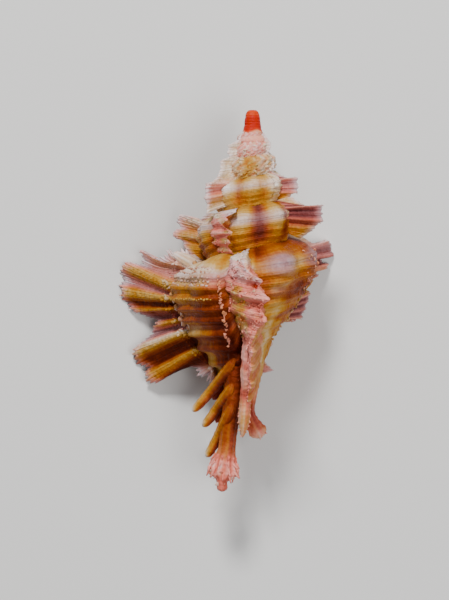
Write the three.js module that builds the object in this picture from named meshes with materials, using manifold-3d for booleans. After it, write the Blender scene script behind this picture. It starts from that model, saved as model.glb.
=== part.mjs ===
// Chicoreus laqueatus shell, lying with its opening down and its spire towards +Y.
// Everything is one solid: a coiled body, winged varices, a canal with fingers and old spurs.
import * as THREE from "three";
import Module from "manifold-3d";

const wasm = await Module();
wasm.setup();

// Overall size and coil. Outlines seen from above are in photo pixels, 10 pixels to a millimetre.
const MM_PER_PX = 0.1;
const AXIS_PX = 251.5; // the coil's axis, across
const APEX_PX = 108; // where the coil's cone starts, down
const ORIGIN_PX = [225.235, 300.9]; // middle of the part's base
const AXIS_HEIGHT = 6.6; // coil axis above the floor, mm
const WHORL_RATIO = 1.43; // growth in one turn
const LIP_TURN = 477; // turn angle of the last lip, degrees, 0 faces up
const FIRST_TURN = LIP_TURN - 1980;

// Body profile at the lip: distance from the axis and distance below the apex, mm.
const PROFILE = [
  [4.6, 15.9], [5.7, 16.4], [6.5, 17.2], [6.75, 18.0], [7.05, 18.5], [6.8, 19.1], [7.0, 19.7],
  [6.65, 20.4], [6.8, 21.1], [6.35, 21.8], [6.4, 22.5], [5.7, 23.4], [5.5, 24.2], [4.6, 25.0],
  [4.1, 25.9], [3.2, 26.8], [2.5, 28.0], [1.9, 29.6],
];
const NODE_HEIGHT = 0.95; // rib between two varices, mm at the lip
const NODE_WIDTH = 18; // half width of a rib, degrees
const JOIN_TOLERANCE = 0.055; // slivers left by the joins are smoothed away below this, mm
const TOUCH_GAP = 0.004; // ridges that only touch along an edge are drawn apart by this, mm
const SPIRE_SWELL = 0.2; // how much fuller the first whorls are

// Turn angles of the varices, oldest last.
const VARIX_TURNS = [477, 360, 236, 125, 35, -65, -180, -302, -425, -548, -660, -780, -900, -1020, -1140, -1260,
  -1380];

// A common wing of the older varices: base and outline at lip scale, and half thickness.
const WING_BASE = [[5.2, 16.2], [6.3, 17.4], [6.7, 19.2], [6.4, 21.2], [5.5, 23.0]];
const WING_EDGE = [
  [6.2, 15.6, 0, 0.4], [9.2, 15.9, 0.14, 0.35], [11.6, 16.2, 0.26, 0.6], [10.6, 17.3, 0.36, 0.3],
  [11.8, 18.4, 0.48, 0.6], [10.4, 19.4, 0.58, 0.3], [11.0, 20.6, 0.7, 0.6], [9.2, 21.5, 0.8, 0.3],
  [8.6, 22.7, 0.9, 0.5], [6.4, 23.6, 1, 0.3],
];

const OLD_SIZES = { 9: 0.85, 12: 0.85, 15: 0.8 };

// The last varix, a wide ribbed wing on the left: junction with the body, then its edge.
const LAST_BASE = [
  [193, 254], [183, 263], [177, 275], [174, 288], [174, 301], [178, 314], [185, 326], [193, 337], [202, 349],
  [210, 361], [217, 373],
];
const LAST_EDGE = [
  [187, 249, 0, 0.35], [180, 249, 0.02, 0.4], [172, 253, 0.04, 0.28], [168, 248, 0.06, 0.4],
  [165, 253, 0.08, 0.28], [156, 257, 0.1, 0.3], [150, 257, 0.115, 0.35], [139, 249, 0.13, 0.5],
  [141, 260, 0.16, 0.22], [139, 264, 0.18, 0.22], [126, 261, 0.205, 0.5], [122, 263, 0.22, 0.55],
  [121, 268, 0.235, 0.45], [117, 272, 0.25, 0.3], [121, 276, 0.27, 0.22], [121, 282, 0.295, 0.25],
  [117, 285, 0.315, 0.45], [121, 289, 0.335, 0.58], [120, 294, 0.355, 0.55], [119.5, 300, 0.385, 0.3],
  [125, 302, 0.405, 0.2], [127, 306, 0.43, 0.3], [131, 311, 0.455, 0.5], [136, 313, 0.475, 0.35],
  [146, 317, 0.5, 0.2], [154, 319, 0.515, 0.35], [155, 324, 0.53, 0.5], [152, 328, 0.545, 0.5],
  [151, 334, 0.565, 0.25], [145, 338, 0.585, 0.3], [140, 343, 0.605, 0.3], [134, 348, 0.63, 0.58],
  [132, 355, 0.65, 0.55], [135, 358, 0.67, 0.25], [134, 365, 0.69, 0.25], [143, 367, 0.71, 0.2],
  [147, 369, 0.725, 0.25], [142, 374, 0.745, 0.45], [146, 377, 0.76, 0.45], [145, 383, 0.78, 0.45],
  [154, 385, 0.81, 0.35], [160, 381, 0.84, 0.3], [170, 375, 0.88, 0.3], [185, 368, 0.93, 0.35],
  [196, 371, 0.95, 0.3], [201, 379, 0.97, 0.3], [205, 377, 0.98, 0.25], [209, 381, 0.99, 0.3], [217, 382, 1, 0.3],
];

// The wing low on the right, seen beyond the body, with two small side spines under it.
const RIGHT_BASE = [
  [290, 234], [296, 246], [297, 262], [294, 280], [287, 296], [277, 308], [265, 322], [259, 340], [256, 358],
  [250, 376],
];
const RIGHT_EDGE = [
  [300, 232, 0, 0.35], [310, 234, 0.03, 0.35], [320, 240, 0.08, 0.35], [330, 240, 0.12, 0.5],
  [333, 248, 0.155, 0.35], [335, 256, 0.19, 0.5], [325, 258, 0.23, 0.25], [329, 262, 0.26, 0.4],
  [327, 270, 0.3, 0.5], [316, 270, 0.34, 0.25], [319, 274, 0.37, 0.45], [311, 275, 0.4, 0.25],
  [314, 280, 0.43, 0.4], [312, 285, 0.46, 0.4], [308, 290, 0.5, 0.25], [312, 295, 0.54, 0.5],
  [309, 300, 0.57, 0.35], [306, 310, 0.61, 0.35], [303, 320, 0.65, 0.5], [296, 321, 0.67, 0.4],
  [289, 315, 0.7, 0.3], [280, 318, 0.74, 0.35], [279, 325, 0.77, 0.45], [272, 327, 0.8, 0.3],
  [268, 338, 0.84, 0.3], [273, 345, 0.87, 0.4], [267, 351, 0.89, 0.3], [265, 362, 0.92, 0.3],
  [274, 371, 0.95, 0.4], [262, 374, 0.97, 0.3], [257, 381, 1, 0.4],
];

// Three more wings that the outline shows: upper left, right of the spire, and above it.
const LEFT_BASE = [[222, 214], [213, 229], [212, 245], [216, 260]];
const LEFT_EDGE = [
  [207, 212, 0, 0.3], [202, 217, 0.05, 0.3], [197, 221, 0.1, 0.3], [190, 219, 0.18, 0.4], [184, 214, 0.24, 0.45],
  [179, 214, 0.3, 0.5], [176, 221, 0.38, 0.4], [181, 227, 0.44, 0.25], [175, 229, 0.5, 0.45],
  [172, 234, 0.56, 0.5], [175, 238, 0.62, 0.4], [182, 240, 0.68, 0.25], [184, 247, 0.8, 0.4],
  [190, 256, 0.9, 0.3], [202, 264, 1, 0.3],
];
const SPIRE_BASE = [[282, 199], [288, 208], [290, 220], [290, 234]];
const SPIRE_EDGE = [
  [292, 197, 0, 0.3], [303, 205, 0.12, 0.35], [312, 207, 0.22, 0.35], [318, 205, 0.3, 0.45],
  [323, 205, 0.38, 0.5], [322, 215, 0.52, 0.3], [324, 221, 0.64, 0.5], [317, 227, 0.78, 0.35],
  [309, 233, 0.9, 0.35], [300, 239, 1, 0.3],
];
const UPPER_BASE = [[272, 171], [277, 180], [279, 190], [279, 200]];
const UPPER_EDGE = [
  [273, 173, 0, 0.3], [284, 177, 0.18, 0.35], [290, 178, 0.3, 0.4], [298, 177, 0.42, 0.5],
  [299, 185, 0.55, 0.35], [298, 191, 0.7, 0.45], [292, 193, 0.85, 0.35], [288, 200, 1, 0.3],
];
const HIGH_BASE = [[230, 176], [226, 185], [223, 195], [223, 207]];
const HIGH_EDGE = [
  [219, 175, 0, 0.3], [213, 182, 0.15, 0.35], [206, 184, 0.3, 0.5], [205, 190, 0.42, 0.35],
  [206, 194, 0.5, 0.3], [204, 199, 0.65, 0.5], [207, 204, 0.8, 0.3], [206, 214, 1, 0.35],
];
// The small varices at both sides of the first whorls: place in the list of turns, base and edge.
const SPIRE_BUMPS = [
  [10, [[237, 157], [233, 165], [232, 180]], [
    [230, 157, 0, 0.3], [222, 160, 0.2, 0.35], [220, 162, 0.35, 0.3], [220, 170, 0.6, 0.35], [217, 177, 0.85, 0.3],
    [220, 183, 1, 0.3],
  ]],
  [13, [[242, 142], [240, 149], [238, 158]], [
    [238, 140, 0, 0.25], [233, 143, 0.15, 0.25], [226.5, 146, 0.3, 0.3], [229, 149, 0.45, 0.2],
    [226.5, 152, 0.6, 0.3], [229, 157, 0.85, 0.25], [232, 161, 1, 0.25],
  ]],
  [16, [[245, 132], [243, 138], [242, 144]], [
    [243, 132, 0, 0.2], [238, 138, 0.5, 0.25], [239, 142, 1, 0.2],
  ]],
  [11, [[262, 153], [265, 163], [266, 174]], [
    [267, 152, 0, 0.25], [272, 158, 0.25, 0.3], [275, 164, 0.55, 0.3], [273.5, 169, 0.8, 0.25], [273, 175, 1, 0.25],
  ]],
  [14, [[260, 136], [262, 144], [262, 152]], [
    [264, 133, 0, 0.2], [267, 138, 0.2, 0.25], [271, 143, 0.45, 0.25], [271, 148, 0.7, 0.25], [268, 154, 1, 0.25],
  ]],
];

// The varix that faces up, told by its height: distance from the axis and below the apex, mm.
const FRONT_BASE = [[4.4, 14.2], [5.7, 15.6], [6.0, 17.6], [5.4, 20.0], [4.2, 22.0], [2.6, 24.4], [1.4, 27.0]];
const FRONT_EDGE = [
  [5.4, 14.0, 0, 0.6], [8.2, 14.6, 0.08, 0.6], [10.2, 15.4, 0.16, 0.9], [9.2, 16.2, 0.22, 0.5],
  [10.4, 17.1, 0.28, 0.9], [9.0, 18.0, 0.34, 0.5], [9.9, 19.0, 0.42, 0.9], [8.4, 19.9, 0.48, 0.5],
  [8.8, 21.0, 0.56, 0.8], [7.2, 22.0, 0.64, 0.5], [6.8, 23.6, 0.72, 0.7], [5.6, 25.4, 0.82, 0.6],
  [4.6, 27.4, 0.9, 0.6], [2.6, 29.6, 1, 0.5],
];

// Canal and spurs: across and down in photo pixels, height over the axis, half width, half depth, mm.
const CANAL = [
  [244, 322, -0.4, 1.9, 2.4], [241, 345, -0.2, 1.6, 1.9], [237, 372, 0.1, 1.3, 1.4], [234, 400, 0.3, 1.05, 1.1],
  [229, 428, 0.3, 0.85, 0.9], [227, 450, 0.2, 0.95, 0.85], [224, 464, 0.1, 1.15, 0.85], [222.5, 474, 0, 1.2, 0.75],
  [222, 480, 0, 0.7, 0.65], [222.5, 491, -0.2, 0.55, 0.5],
];
const FINGERS = [
  [[238, 356], [228, 373], [211, 391], [199, 405], [193, 411]],
  [[238, 378], [229, 396], [217, 411], [208, 421.5], [203, 427]],
  [[235, 400], [228, 420], [218, 438], [211, 450], [205.5, 457.5]],
];
const FINGER_RADII = [1.6, 1.1, 0.65, 0.58, 0.36];
const CANAL_TEETH = [
  [[226, 466, 0.5], [209, 471, 0.16]], [[224, 482, 0.4], [215, 485, 0.16]], [[226, 474, 0.45], [235, 479, 0.16]],
  [[230, 436, 0.5], [219, 447, 0.16]],
];
const FRONT_SPUR = [
  [251, 312, 4.6, 1.0, 1.3], [250, 338, 4.0, 1.15, 1.3], [249, 366, 3.2, 1.0, 1.2], [246.5, 392, 2.6, 0.85, 1.0],
  [243.5, 416, 2.2, 0.65, 0.75], [242.5, 437, 1.9, 0.22, 0.3],
];
const BACK_SPUR = [
  [252, 340, -1.4, 1.2, 1.4], [247, 372, -1.3, 0.9, 1.1], [244, 398, -1.2, 0.75, 0.85], [249, 415, -1.2, 0.8, 0.75],
  [256, 427, -1.3, 1.0, 0.6], [259, 435, -1.3, 0.8, 0.45], [261, 438.5, -1.3, 0.3, 0.3],
];
const PROTOCONCH_SHIFT = 0.1;
const PROTOCONCH = [
  [0, 109.9], [4.8, 110.3], [6.9, 113], [8.0, 120], [9.6, 128], [12, 135], [14, 142], [0, 155],
];

// The opening below the last varix and the tube behind it, at lip scale.
const MOUTH_CENTRE = [4.3, 20.6];
const MOUTH_HALF = [1.75, 2.6];

const rad = (deg) => (deg * Math.PI) / 180;
const growth = (turn) => Math.pow(WHORL_RATIO, (turn - LIP_TURN) / 360);

// A point at a turn angle, a distance from the axis and a distance below the apex.
function place(turn, out, below) {
  return [
    (AXIS_PX - ORIGIN_PX[0]) * MM_PER_PX - out * Math.sin(rad(turn)),
    (ORIGIN_PX[1] - APEX_PX) * MM_PER_PX - below,
    AXIS_HEIGHT + out * Math.cos(rad(turn)),
  ];
}

// A point seen in the photo turned into distance from the axis and below the apex.
function fromPhoto(turn, px, py) {
  return [Math.abs(((AXIS_PX - px) * MM_PER_PX) / Math.sin(rad(turn))), (py - APEX_PX) * MM_PER_PX];
}

function solidOf(points, faces) {
  const mesh = new wasm.Mesh({
    numProp: 3,
    vertProperties: Float32Array.from(points.flat()),
    triVerts: Uint32Array.from(faces.flat()),
  });
  return new wasm.Manifold(mesh);
}

// A closed solid from rings of equal length, with both end rings filled from their middles.
function sweep(rings) {
  const n = rings[0].length;
  const points = rings.flat();
  const faces = [];
  for (let i = 0; i + 1 < rings.length; i++) {
    for (let j = 0; j < n; j++) {
      const a = i * n + j;
      const b = i * n + ((j + 1) % n);
      faces.push([a, b, b + n], [a, b + n, a + n]);
    }
  }
  const middle = (ring) => [0, 1, 2].map((k) => ring.reduce((sum, p) => sum + p[k], 0) / n);
  const first = points.push(middle(rings[0])) - 1;
  const last = points.push(middle(rings[rings.length - 1])) - 1;
  const base = (rings.length - 1) * n;
  for (let j = 0; j < n; j++) {
    const k = (j + 1) % n;
    faces.push([first, k, j], [last, base + j, base + k]);
  }
  const solid = solidOf(points, faces);
  return solid.volume() < 0 ? solidOf(points, faces.map(([a, b, c]) => [a, c, b])) : solid;
}

// How far the ribs between the varices stand out at a turn angle, 0 to 1.
function nodeAt(turn) {
  let height = 0;
  for (let i = 0; i + 1 < VARIX_TURNS.length; i++) {
    const newer = VARIX_TURNS[i];
    const older = VARIX_TURNS[i + 1];
    for (const share of [0.37, 0.7]) {
      const away = Math.abs(turn - older - share * (newer - older)) / NODE_WIDTH;
      if (away < 1) height = Math.max(height, Math.cos((away * Math.PI) / 2) ** 2);
    }
  }
  return height;
}

// The body profile at one turn angle, swollen by the ribs and closed near the axis.
function bodyRing(turn) {
  const s = growth(turn);
  const fuller = 1 + SPIRE_SWELL * Math.max(0, 1 - s / 0.55);
  const profile = s > 0.5 ? PROFILE : PROFILE.filter((point, i) => i % 2 === 0);
  const ring = profile.map(([out, below]) => {
    const swell = Math.exp(-(((below - 18.8) / 2.4) ** 2)) * nodeAt(turn) * NODE_HEIGHT;
    return place(turn, s * fuller * (out + swell), s * below);
  });
  const core = 0.1;
  ring.push(place(turn, s * core, s * 30.5));
  ring.push(place(turn, s * core, s * 22));
  ring.push(place(turn, s * core, s * 14.5));
  return ring;
}

function bodySolids() {
  const solids = [];
  let turn = FIRST_TURN;
  while (turn < LIP_TURN - 1) {
    const end = Math.min(turn + 110, LIP_TURN);
    const step = turn > LIP_TURN - 440 ? 11 : turn > LIP_TURN - 900 ? 14 : 22;
    const count = Math.round((end - turn) / step);
    const rings = [];
    for (let i = 0; i <= count; i++) rings.push(bodyRing(turn + ((end - turn) * i) / count));
    solids.push(sweep(rings));
    turn = end;
  }
  return solids;
}

// A solid turned about the coil axis from photo points.
function lathe(outline, shift = 0) {
  const rings = outline.map(([out, py]) => {
    const ring = [];
    const radius = Math.max(out * MM_PER_PX, 0.01);
    for (let k = 0; k < 14; k++) {
      const [x, y, z] = place((360 * k) / 14, radius, (py - APEX_PX) * MM_PER_PX);
      ring.push([x + shift, y, z]);
    }
    return ring;
  });
  return sweep(rings);
}

function alongLine(line, share) {
  const at = share * (line.length - 1);
  const i = Math.min(Math.floor(at), line.length - 2);
  const f = at - i;
  return [line[i][0] * (1 - f) + line[i + 1][0] * f, line[i][1] * (1 - f) + line[i + 1][1] * f];
}

// A ribbed wing: rays from the base line to the edge points, bent back towards the tip.
// The half thickness of each ray makes the ribs, and the wing's root lies inside the body.
function wing(turn, bend, base, edge, { root = 1.4, lead = 0, twist = 0 } = {}) {
  const steps = [-1, 0, 0.4, 1];
  const rings = edge.map(([out, below, share, half]) => {
    const foot = alongLine(base, share);
    const reach = Math.hypot(out - foot[0], below - foot[1]) || 1;
    const front = [];
    const back = [];
    for (const v of steps) {
      const f = v < 0 ? -root / reach : v;
      const r = foot[0] + (out - foot[0]) * f;
      const d = foot[1] + (below - foot[1]) * f;
      const away = turn + twist * share - bend * Math.max(v, 0) ** 1.5;
      const thick = half * (v < 0 ? 1.6 : 1.25 - 0.6 * v);
      const side = ((thick / Math.max(r, 1)) * 180) / Math.PI;
      const slope = lead * (1 - Math.max(v, 0)) ** 1.5;
      front.push(place(away - side, Math.max(r, 0.3), d));
      back.push(place(away + side * 0.8 + slope, Math.max(r, 0.3), d));
    }
    return [...front, ...back.reverse()];
  });
  return sweep(rings);
}

function photoWing(turn, bend, base, edge, options = {}) {
  const { twist = 0 } = options;
  const atShare = (share) => turn + twist * share;
  return wing(
    turn,
    bend,
    base.map(([px, py], i) => fromPhoto(atShare(i / (base.length - 1)), px, py)),
    edge.map(([px, py, share, half]) => [...fromPhoto(atShare(share) - bend, px, py), share, half]),
    options,
  );
}

function olderWing(turn, size = 1, lead = 8) {
  const s = growth(turn);
  const scaled = ([out, below]) => [out * s, below * s];
  return wing(
    turn,
    8,
    WING_BASE.map(scaled),
    WING_EDGE.map(([out, below, share, half]) => [
      s * (6 + (out - 6) * size), below * s, share, Math.max(half * s, 0.12),
    ]),
    { root: 1.4 * s, lead },
  );
}

// A bent tube with an oval section, from photo points with a height over the axis.
function tube(stations, sides = 10) {
  const spots = stations.map(([px, py, z, wide, deep]) => ({
    at: new THREE.Vector3(
      (px - ORIGIN_PX[0]) * MM_PER_PX,
      (ORIGIN_PX[1] - py) * MM_PER_PX,
      AXIS_HEIGHT + z,
    ),
    wide,
    deep,
  }));
  const rings = spots.map(({ at, wide, deep }, i) => {
    const before = spots[Math.max(i - 1, 0)].at;
    const after = spots[Math.min(i + 1, spots.length - 1)].at;
    const along = after.clone().sub(before).normalize();
    const across = new THREE.Vector3(0, 0, 1).cross(along).normalize();
    const up = along.clone().cross(across);
    const ring = [];
    for (let k = 0; k < sides; k++) {
      const a = (2 * Math.PI * k) / sides;
      const p = at.clone().addScaledVector(across, wide * Math.cos(a)).addScaledVector(up, deep * Math.sin(a));
      ring.push(p.toArray());
    }
    return ring;
  });
  return sweep(rings);
}

function fingerSolids() {
  return FINGERS.map((line) =>
    tube(
      line.map(([px, py], i) => {
        const away = ((AXIS_PX - 14 - px) * MM_PER_PX) / Math.tan(rad(68));
        return [px, py, 0.3 - Math.max(away, 0), FINGER_RADII[i], FINGER_RADII[i] * 0.85];
      }),
      7,
    ),
  );
}

function toothSolids() {
  return CANAL_TEETH.map((line) =>
    tube(line.map(([px, py, half]) => [px, py, 0.1, half, half]), 5),
  );
}

// The room for the animal, from outside the lip back into the last whorl.
function mouth() {
  const rings = [];
  for (const back of [-14, 0, 25, 50, 75, 100, 125]) {
    const turn = LIP_TURN - back;
    const s = growth(turn) * (back < 0 ? 1 : 1 - back / 400);
    const ring = [];
    for (let k = 0; k < 14; k++) {
      const a = (2 * Math.PI * k) / 14;
      ring.push(
        place(
          turn,
          growth(turn) * MOUTH_CENTRE[0] + s * MOUTH_HALF[0] * Math.cos(a),
          growth(turn) * MOUTH_CENTRE[1] + s * MOUTH_HALF[1] * Math.sin(a),
        ),
      );
    }
    rings.push(ring);
  }
  return sweep(rings);
}

function shellSolid() {
  const adds = [
    ...bodySolids(),
    lathe(PROTOCONCH, PROTOCONCH_SHIFT),
    lathe([[0, 125], [4, 135], [30, 300], [14, 330], [0, 345]]),
    photoWing(LIP_TURN - 2.5, -0.5, LAST_BASE, LAST_EDGE, { twist: 5.5 }),
    wing(VARIX_TURNS[1], 3, FRONT_BASE, FRONT_EDGE, { lead: 22 }),
    photoWing(VARIX_TURNS[2], 6, RIGHT_BASE, RIGHT_EDGE),
    photoWing(VARIX_TURNS[3], 6, LEFT_BASE, LEFT_EDGE),
    olderWing(VARIX_TURNS[4], 0.75, 24),
    photoWing(VARIX_TURNS[5], 6, SPIRE_BASE, SPIRE_EDGE),
    olderWing(VARIX_TURNS[6], 1.22),
    photoWing(VARIX_TURNS[7], 6, HIGH_BASE, HIGH_EDGE),
    photoWing(VARIX_TURNS[8], 6, UPPER_BASE, UPPER_EDGE),
    ...Object.entries(OLD_SIZES).map(([i, size]) => olderWing(VARIX_TURNS[i], size)),
    ...SPIRE_BUMPS.map(([i, base, edge]) => photoWing(VARIX_TURNS[i], 4, base, edge, { root: 0.5 })),
    tube(CANAL, 12),
    tube(FRONT_SPUR),
    tube(BACK_SPUR),
    ...fingerSolids(),
    ...toothSolids(),
  ];
  let solid = adds[0];
  for (const piece of adds.slice(1)) solid = solid.add(piece);
  solid = solid.subtract(mouth());
  const room = wasm.Manifold.cube([80, 80, 60], true).translate([0, 0, 30]);
  const parts = solid.intersect(room).simplify(JOIN_TOLERANCE).decompose();
  return parts.reduce((best, part) => (part.volume() > best.volume() ? part : best));
}

// Corners that share a place without sharing faces are drawn a hair inwards, so no edge is pinched.
function drawApart(geometry) {
  const spots = geometry.attributes.position;
  const normals = geometry.attributes.normal;
  const seen = new Map();
  for (let i = 0; i < spots.count; i++) {
    const key = [spots.getX(i), spots.getY(i), spots.getZ(i)].map((v) => v.toFixed(3)).join(" ");
    seen.set(key, [...(seen.get(key) || []), i]);
  }
  for (const group of seen.values()) {
    if (group.length < 2) continue;
    for (const i of group) {
      spots.setXYZ(
        i,
        spots.getX(i) - TOUCH_GAP * normals.getX(i),
        spots.getY(i) - TOUCH_GAP * normals.getY(i),
        spots.getZ(i) - TOUCH_GAP * normals.getZ(i),
      );
    }
  }
}

function meshOf(solid, name, material) {
  const { vertProperties, triVerts, numProp } = solid.getMesh();
  const geometry = new THREE.BufferGeometry();
  const points = [];
  for (let i = 0; i < vertProperties.length; i += numProp) {
    points.push(vertProperties[i], vertProperties[i + 1], vertProperties[i + 2]);
  }
  geometry.setAttribute("position", new THREE.Float32BufferAttribute(points, 3));
  geometry.setIndex(Array.from(triVerts));
  geometry.computeVertexNormals();
  drawApart(geometry);
  geometry.computeVertexNormals();
  const mesh = new THREE.Mesh(geometry, material);
  mesh.name = name;
  return mesh;
}

const group = new THREE.Group();
group.name = "chicoreus_laqueatus_shell";
const chalk = new THREE.MeshStandardMaterial({ color: 0xd98a4a, roughness: 0.55, metalness: 0 });
group.add(meshOf(shellSolid(), "shell", chalk));

export default group;
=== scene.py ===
"""A chicoreus laqueatus shell lying on its opening, spire up in the picture."""

import logging
import math
from collections.abc import Callable
from dataclasses import dataclass, field
from enum import Enum

import bpy
import numpy as np
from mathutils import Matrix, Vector


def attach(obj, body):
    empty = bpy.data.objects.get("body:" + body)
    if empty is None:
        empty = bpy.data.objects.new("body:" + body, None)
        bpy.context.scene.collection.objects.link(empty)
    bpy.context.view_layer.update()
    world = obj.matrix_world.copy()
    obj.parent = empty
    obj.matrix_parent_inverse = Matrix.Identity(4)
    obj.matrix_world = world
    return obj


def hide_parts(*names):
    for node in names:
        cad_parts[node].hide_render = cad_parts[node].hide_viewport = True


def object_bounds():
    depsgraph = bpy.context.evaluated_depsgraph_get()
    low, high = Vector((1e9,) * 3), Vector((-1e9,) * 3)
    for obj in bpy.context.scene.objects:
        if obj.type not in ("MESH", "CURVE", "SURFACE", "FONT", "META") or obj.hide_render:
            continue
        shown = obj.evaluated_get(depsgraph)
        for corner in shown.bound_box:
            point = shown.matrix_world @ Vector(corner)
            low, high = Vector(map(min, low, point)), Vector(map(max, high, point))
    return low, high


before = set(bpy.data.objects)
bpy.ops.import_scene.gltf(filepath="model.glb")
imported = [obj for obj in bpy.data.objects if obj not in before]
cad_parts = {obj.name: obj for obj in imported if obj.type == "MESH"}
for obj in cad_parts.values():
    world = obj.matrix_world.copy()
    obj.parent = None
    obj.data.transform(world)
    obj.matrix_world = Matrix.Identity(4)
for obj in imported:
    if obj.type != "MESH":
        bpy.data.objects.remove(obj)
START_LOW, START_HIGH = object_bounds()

log = logging.getLogger("shell")

MM = 0.001
FINE = 0.15  # length of the smallest faces, mm
FULL_TURN = 360.0
Stop = tuple[float, tuple[float, float, float]]  # a place on a ramp and its linear colour

# Turn angles of the varices in degrees, newest first. 0 faces up and 90 faces left.
VARIX_TURNS = (
    477, 360, 236, 125, 35, -65, -180, -302, -425, -548, -660, -780, -900, -1020, -1140, -1260, -1380,
)

# Wings that show in the picture. Each point of a base, the junction with the body: across and down
# in the picture. Each point of an edge: across, down, share along the base, half thickness in mm,
# tone from dark brown 0 to white 1, and rose from 0 to 1.
LAST_BASE = (
    (193, 254), (183, 263), (177, 275), (174, 288), (174, 301), (178, 314), (185, 326), (193, 337),
    (202, 349), (210, 361), (217, 373),
)
LAST_EDGE = (
    (187, 249, 0, .35, .93, .05), (180, 248, .02, .42, .95, .1), (173, 254, .035, .34, .84, .3),
    (168, 247, .05, .42, .95, .15), (165, 254, .065, .32, .78, .4), (157, 257, .08, .3, .82, .35),
    (150, 258, .09, .28, .76, .5), (146, 253, .1, .4, .76, .5), (139, 248, .115, .5, .76, .45),
    (141, 258, .145, .26, .78, .5), (140, 264, .18, .2, .7, .6), (132, 262, .22, .32, .7, .5),
    (126, 261, .255, .48, .64, .25), (122, 263, .28, .55, .6, 0), (121, 268, .305, .48, .56, .1),
    (117, 272, .325, .3, .62, .5), (121, 276, .34, .22, .66, .6), (121, 281, .35, .25, .64, .7),
    (117, 285, .36, .42, .6, .3), (121, 289, .375, .56, .62, 0), (120, 294, .39, .55, .58, 0),
    (119.5, 300, .41, .3, .42, .15), (125, 302, .42, .2, .26, .1), (127, 306, .44, .28, .32, .2),
    (131, 311, .46, .46, .58, .1), (136, 313, .48, .3, .4, .3), (146, 317, .51, .2, .34, .5),
    (154, 319, .53, .24, .36, .6), (156, 324, .55, .46, .56, .1), (152, 328, .565, .48, .52, .05),
    (151, 334, .595, .22, .46, .8), (146, 338, .615, .24, .5, .8), (140, 343, .632, .34, .78, .5),
    (134, 348, .645, .5, .84, .2), (132, 355, .665, .6, .67, .05), (134, 359, .685, .46, .48, 0),
    (134, 365, .715, .2, .26, 0), (143, 367, .74, .2, .2, 0), (147, 369, .77, .2, .22, 0),
    (142, 374, .785, .32, .46, .05), (146, 378, .8, .46, .59, .05), (145, 383, .815, .4, .54, .1),
    (154, 385, .835, .32, .34, .1), (160, 381, .855, .25, .24, .2), (170, 375, .88, .22, .22, .2),
    (185, 367, .92, .25, .3, .3), (194, 368, .94, .26, .6, .4), (200, 379, .96, .34, .88, .35),
    (205, 374, .975, .24, .6, .4), (209, 382, .985, .34, .84, .3), (217, 382, 1, .3, .5, .1),
)
RIGHT_BASE = (
    (290, 234), (296, 246), (297, 262), (294, 280), (287, 296), (277, 308), (265, 322), (259, 340),
    (256, 358), (250, 376),
)
RIGHT_EDGE = (
    (298, 233, 0, .35, .88, .2), (306, 238, .03, .3, .9, .2), (314, 243, .07, .3, .84, .5),
    (322, 242, .11, .34, .74, .6), (329, 239.5, .13, .52, .74, .6), (332, 243, .15, .4, .62, .8),
    (333, 249, .17, .24, .44, .8), (336, 255, .2, .5, .56, .7), (331, 257, .22, .34, .44, .7),
    (322, 258, .24, .22, .2, .7), (323, 262, .26, .26, .3, .7), (330, 263, .28, .44, .6, .5),
    (327, 269, .3, .44, .64, .4), (318, 269, .33, .22, .24, .6), (316, 272, .36, .3, .44, .5),
    (320, 275, .38, .44, .66, .5), (312, 276, .4, .24, .3, .4), (314, 280, .43, .4, .6, .2),
    (311, 285, .46, .36, .58, .1), (307, 289, .5, .24, .36, .2), (312, 293, .53, .44, .74, .5),
    (309, 297, .555, .22, .3, .8), (310, 301, .58, .36, .62, .6), (306, 304, .6, .22, .28, .8),
    (307, 309, .62, .4, .64, .6), (303, 313, .635, .22, .3, .8), (303, 319, .65, .44, .78, .5),
    (297, 318, .66, .22, .34, .7), (296, 322, .675, .36, .7, .5), (289, 315, .7, .3, .4, .3),
    (280, 318, .74, .35, .6, .05), (279, 325, .77, .45, .66, 0), (272, 327, .8, .3, .56, 0),
    (268, 336, .83, .3, .6, .1), (273, 344, .86, .4, .84, .3), (268, 348, .89, .3, .66, .2),
    (265, 362, .92, .3, .66, .3), (274, 371, .95, .4, .66, .7), (262, 374, .97, .3, .66, .4),
    (257, 381, 1, .4, .66, .3),
)
LEFT_BASE = ((222, 214), (213, 229), (212, 245), (216, 260))
LEFT_EDGE = (
    (207, 212, 0, .3, .95, 0), (202, 217, .05, .3, .9, .2), (197, 221, .1, .32, .86, .3),
    (190, 219, .18, .4, .86, .25), (184, 214, .24, .45, .88, .3), (179, 214, .3, .5, .86, .35),
    (176, 221, .38, .4, .76, .35), (181, 227, .44, .3, .66, .35), (175, 229, .5, .45, .7, .35),
    (172, 234, .56, .5, .7, .3), (175, 238, .62, .4, .62, .3), (182, 240, .68, .3, .52, .15),
    (184, 247, .8, .4, .6, 0), (190, 256, .9, .3, .5, 0), (202, 264, 1, .3, .45, 0),
)
SPIRE_BASE = ((282, 199), (288, 208), (290, 220), (290, 234))
SPIRE_EDGE = (
    (292, 197, 0, .3, .8, .1), (303, 205, .1, .36, .8, .3), (307, 207, .16, .22, .5, .6),
    (312, 206, .22, .4, .6, .6), (316, 206, .27, .24, .42, .8), (323, 205, .34, .54, .66, .6),
    (321, 211, .42, .22, .2, .8), (323, 214, .48, .4, .4, .8), (321, 217, .54, .22, .26, .7),
    (324, 221, .62, .54, .5, .6), (317, 225, .72, .24, .36, .4), (314, 229, .82, .45, .58, .3),
    (309, 233, .9, .3, .56, .1), (300, 239, 1, .3, .56, 0),
)
UPPER_BASE = ((272, 171), (277, 180), (279, 190), (279, 200))
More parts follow.
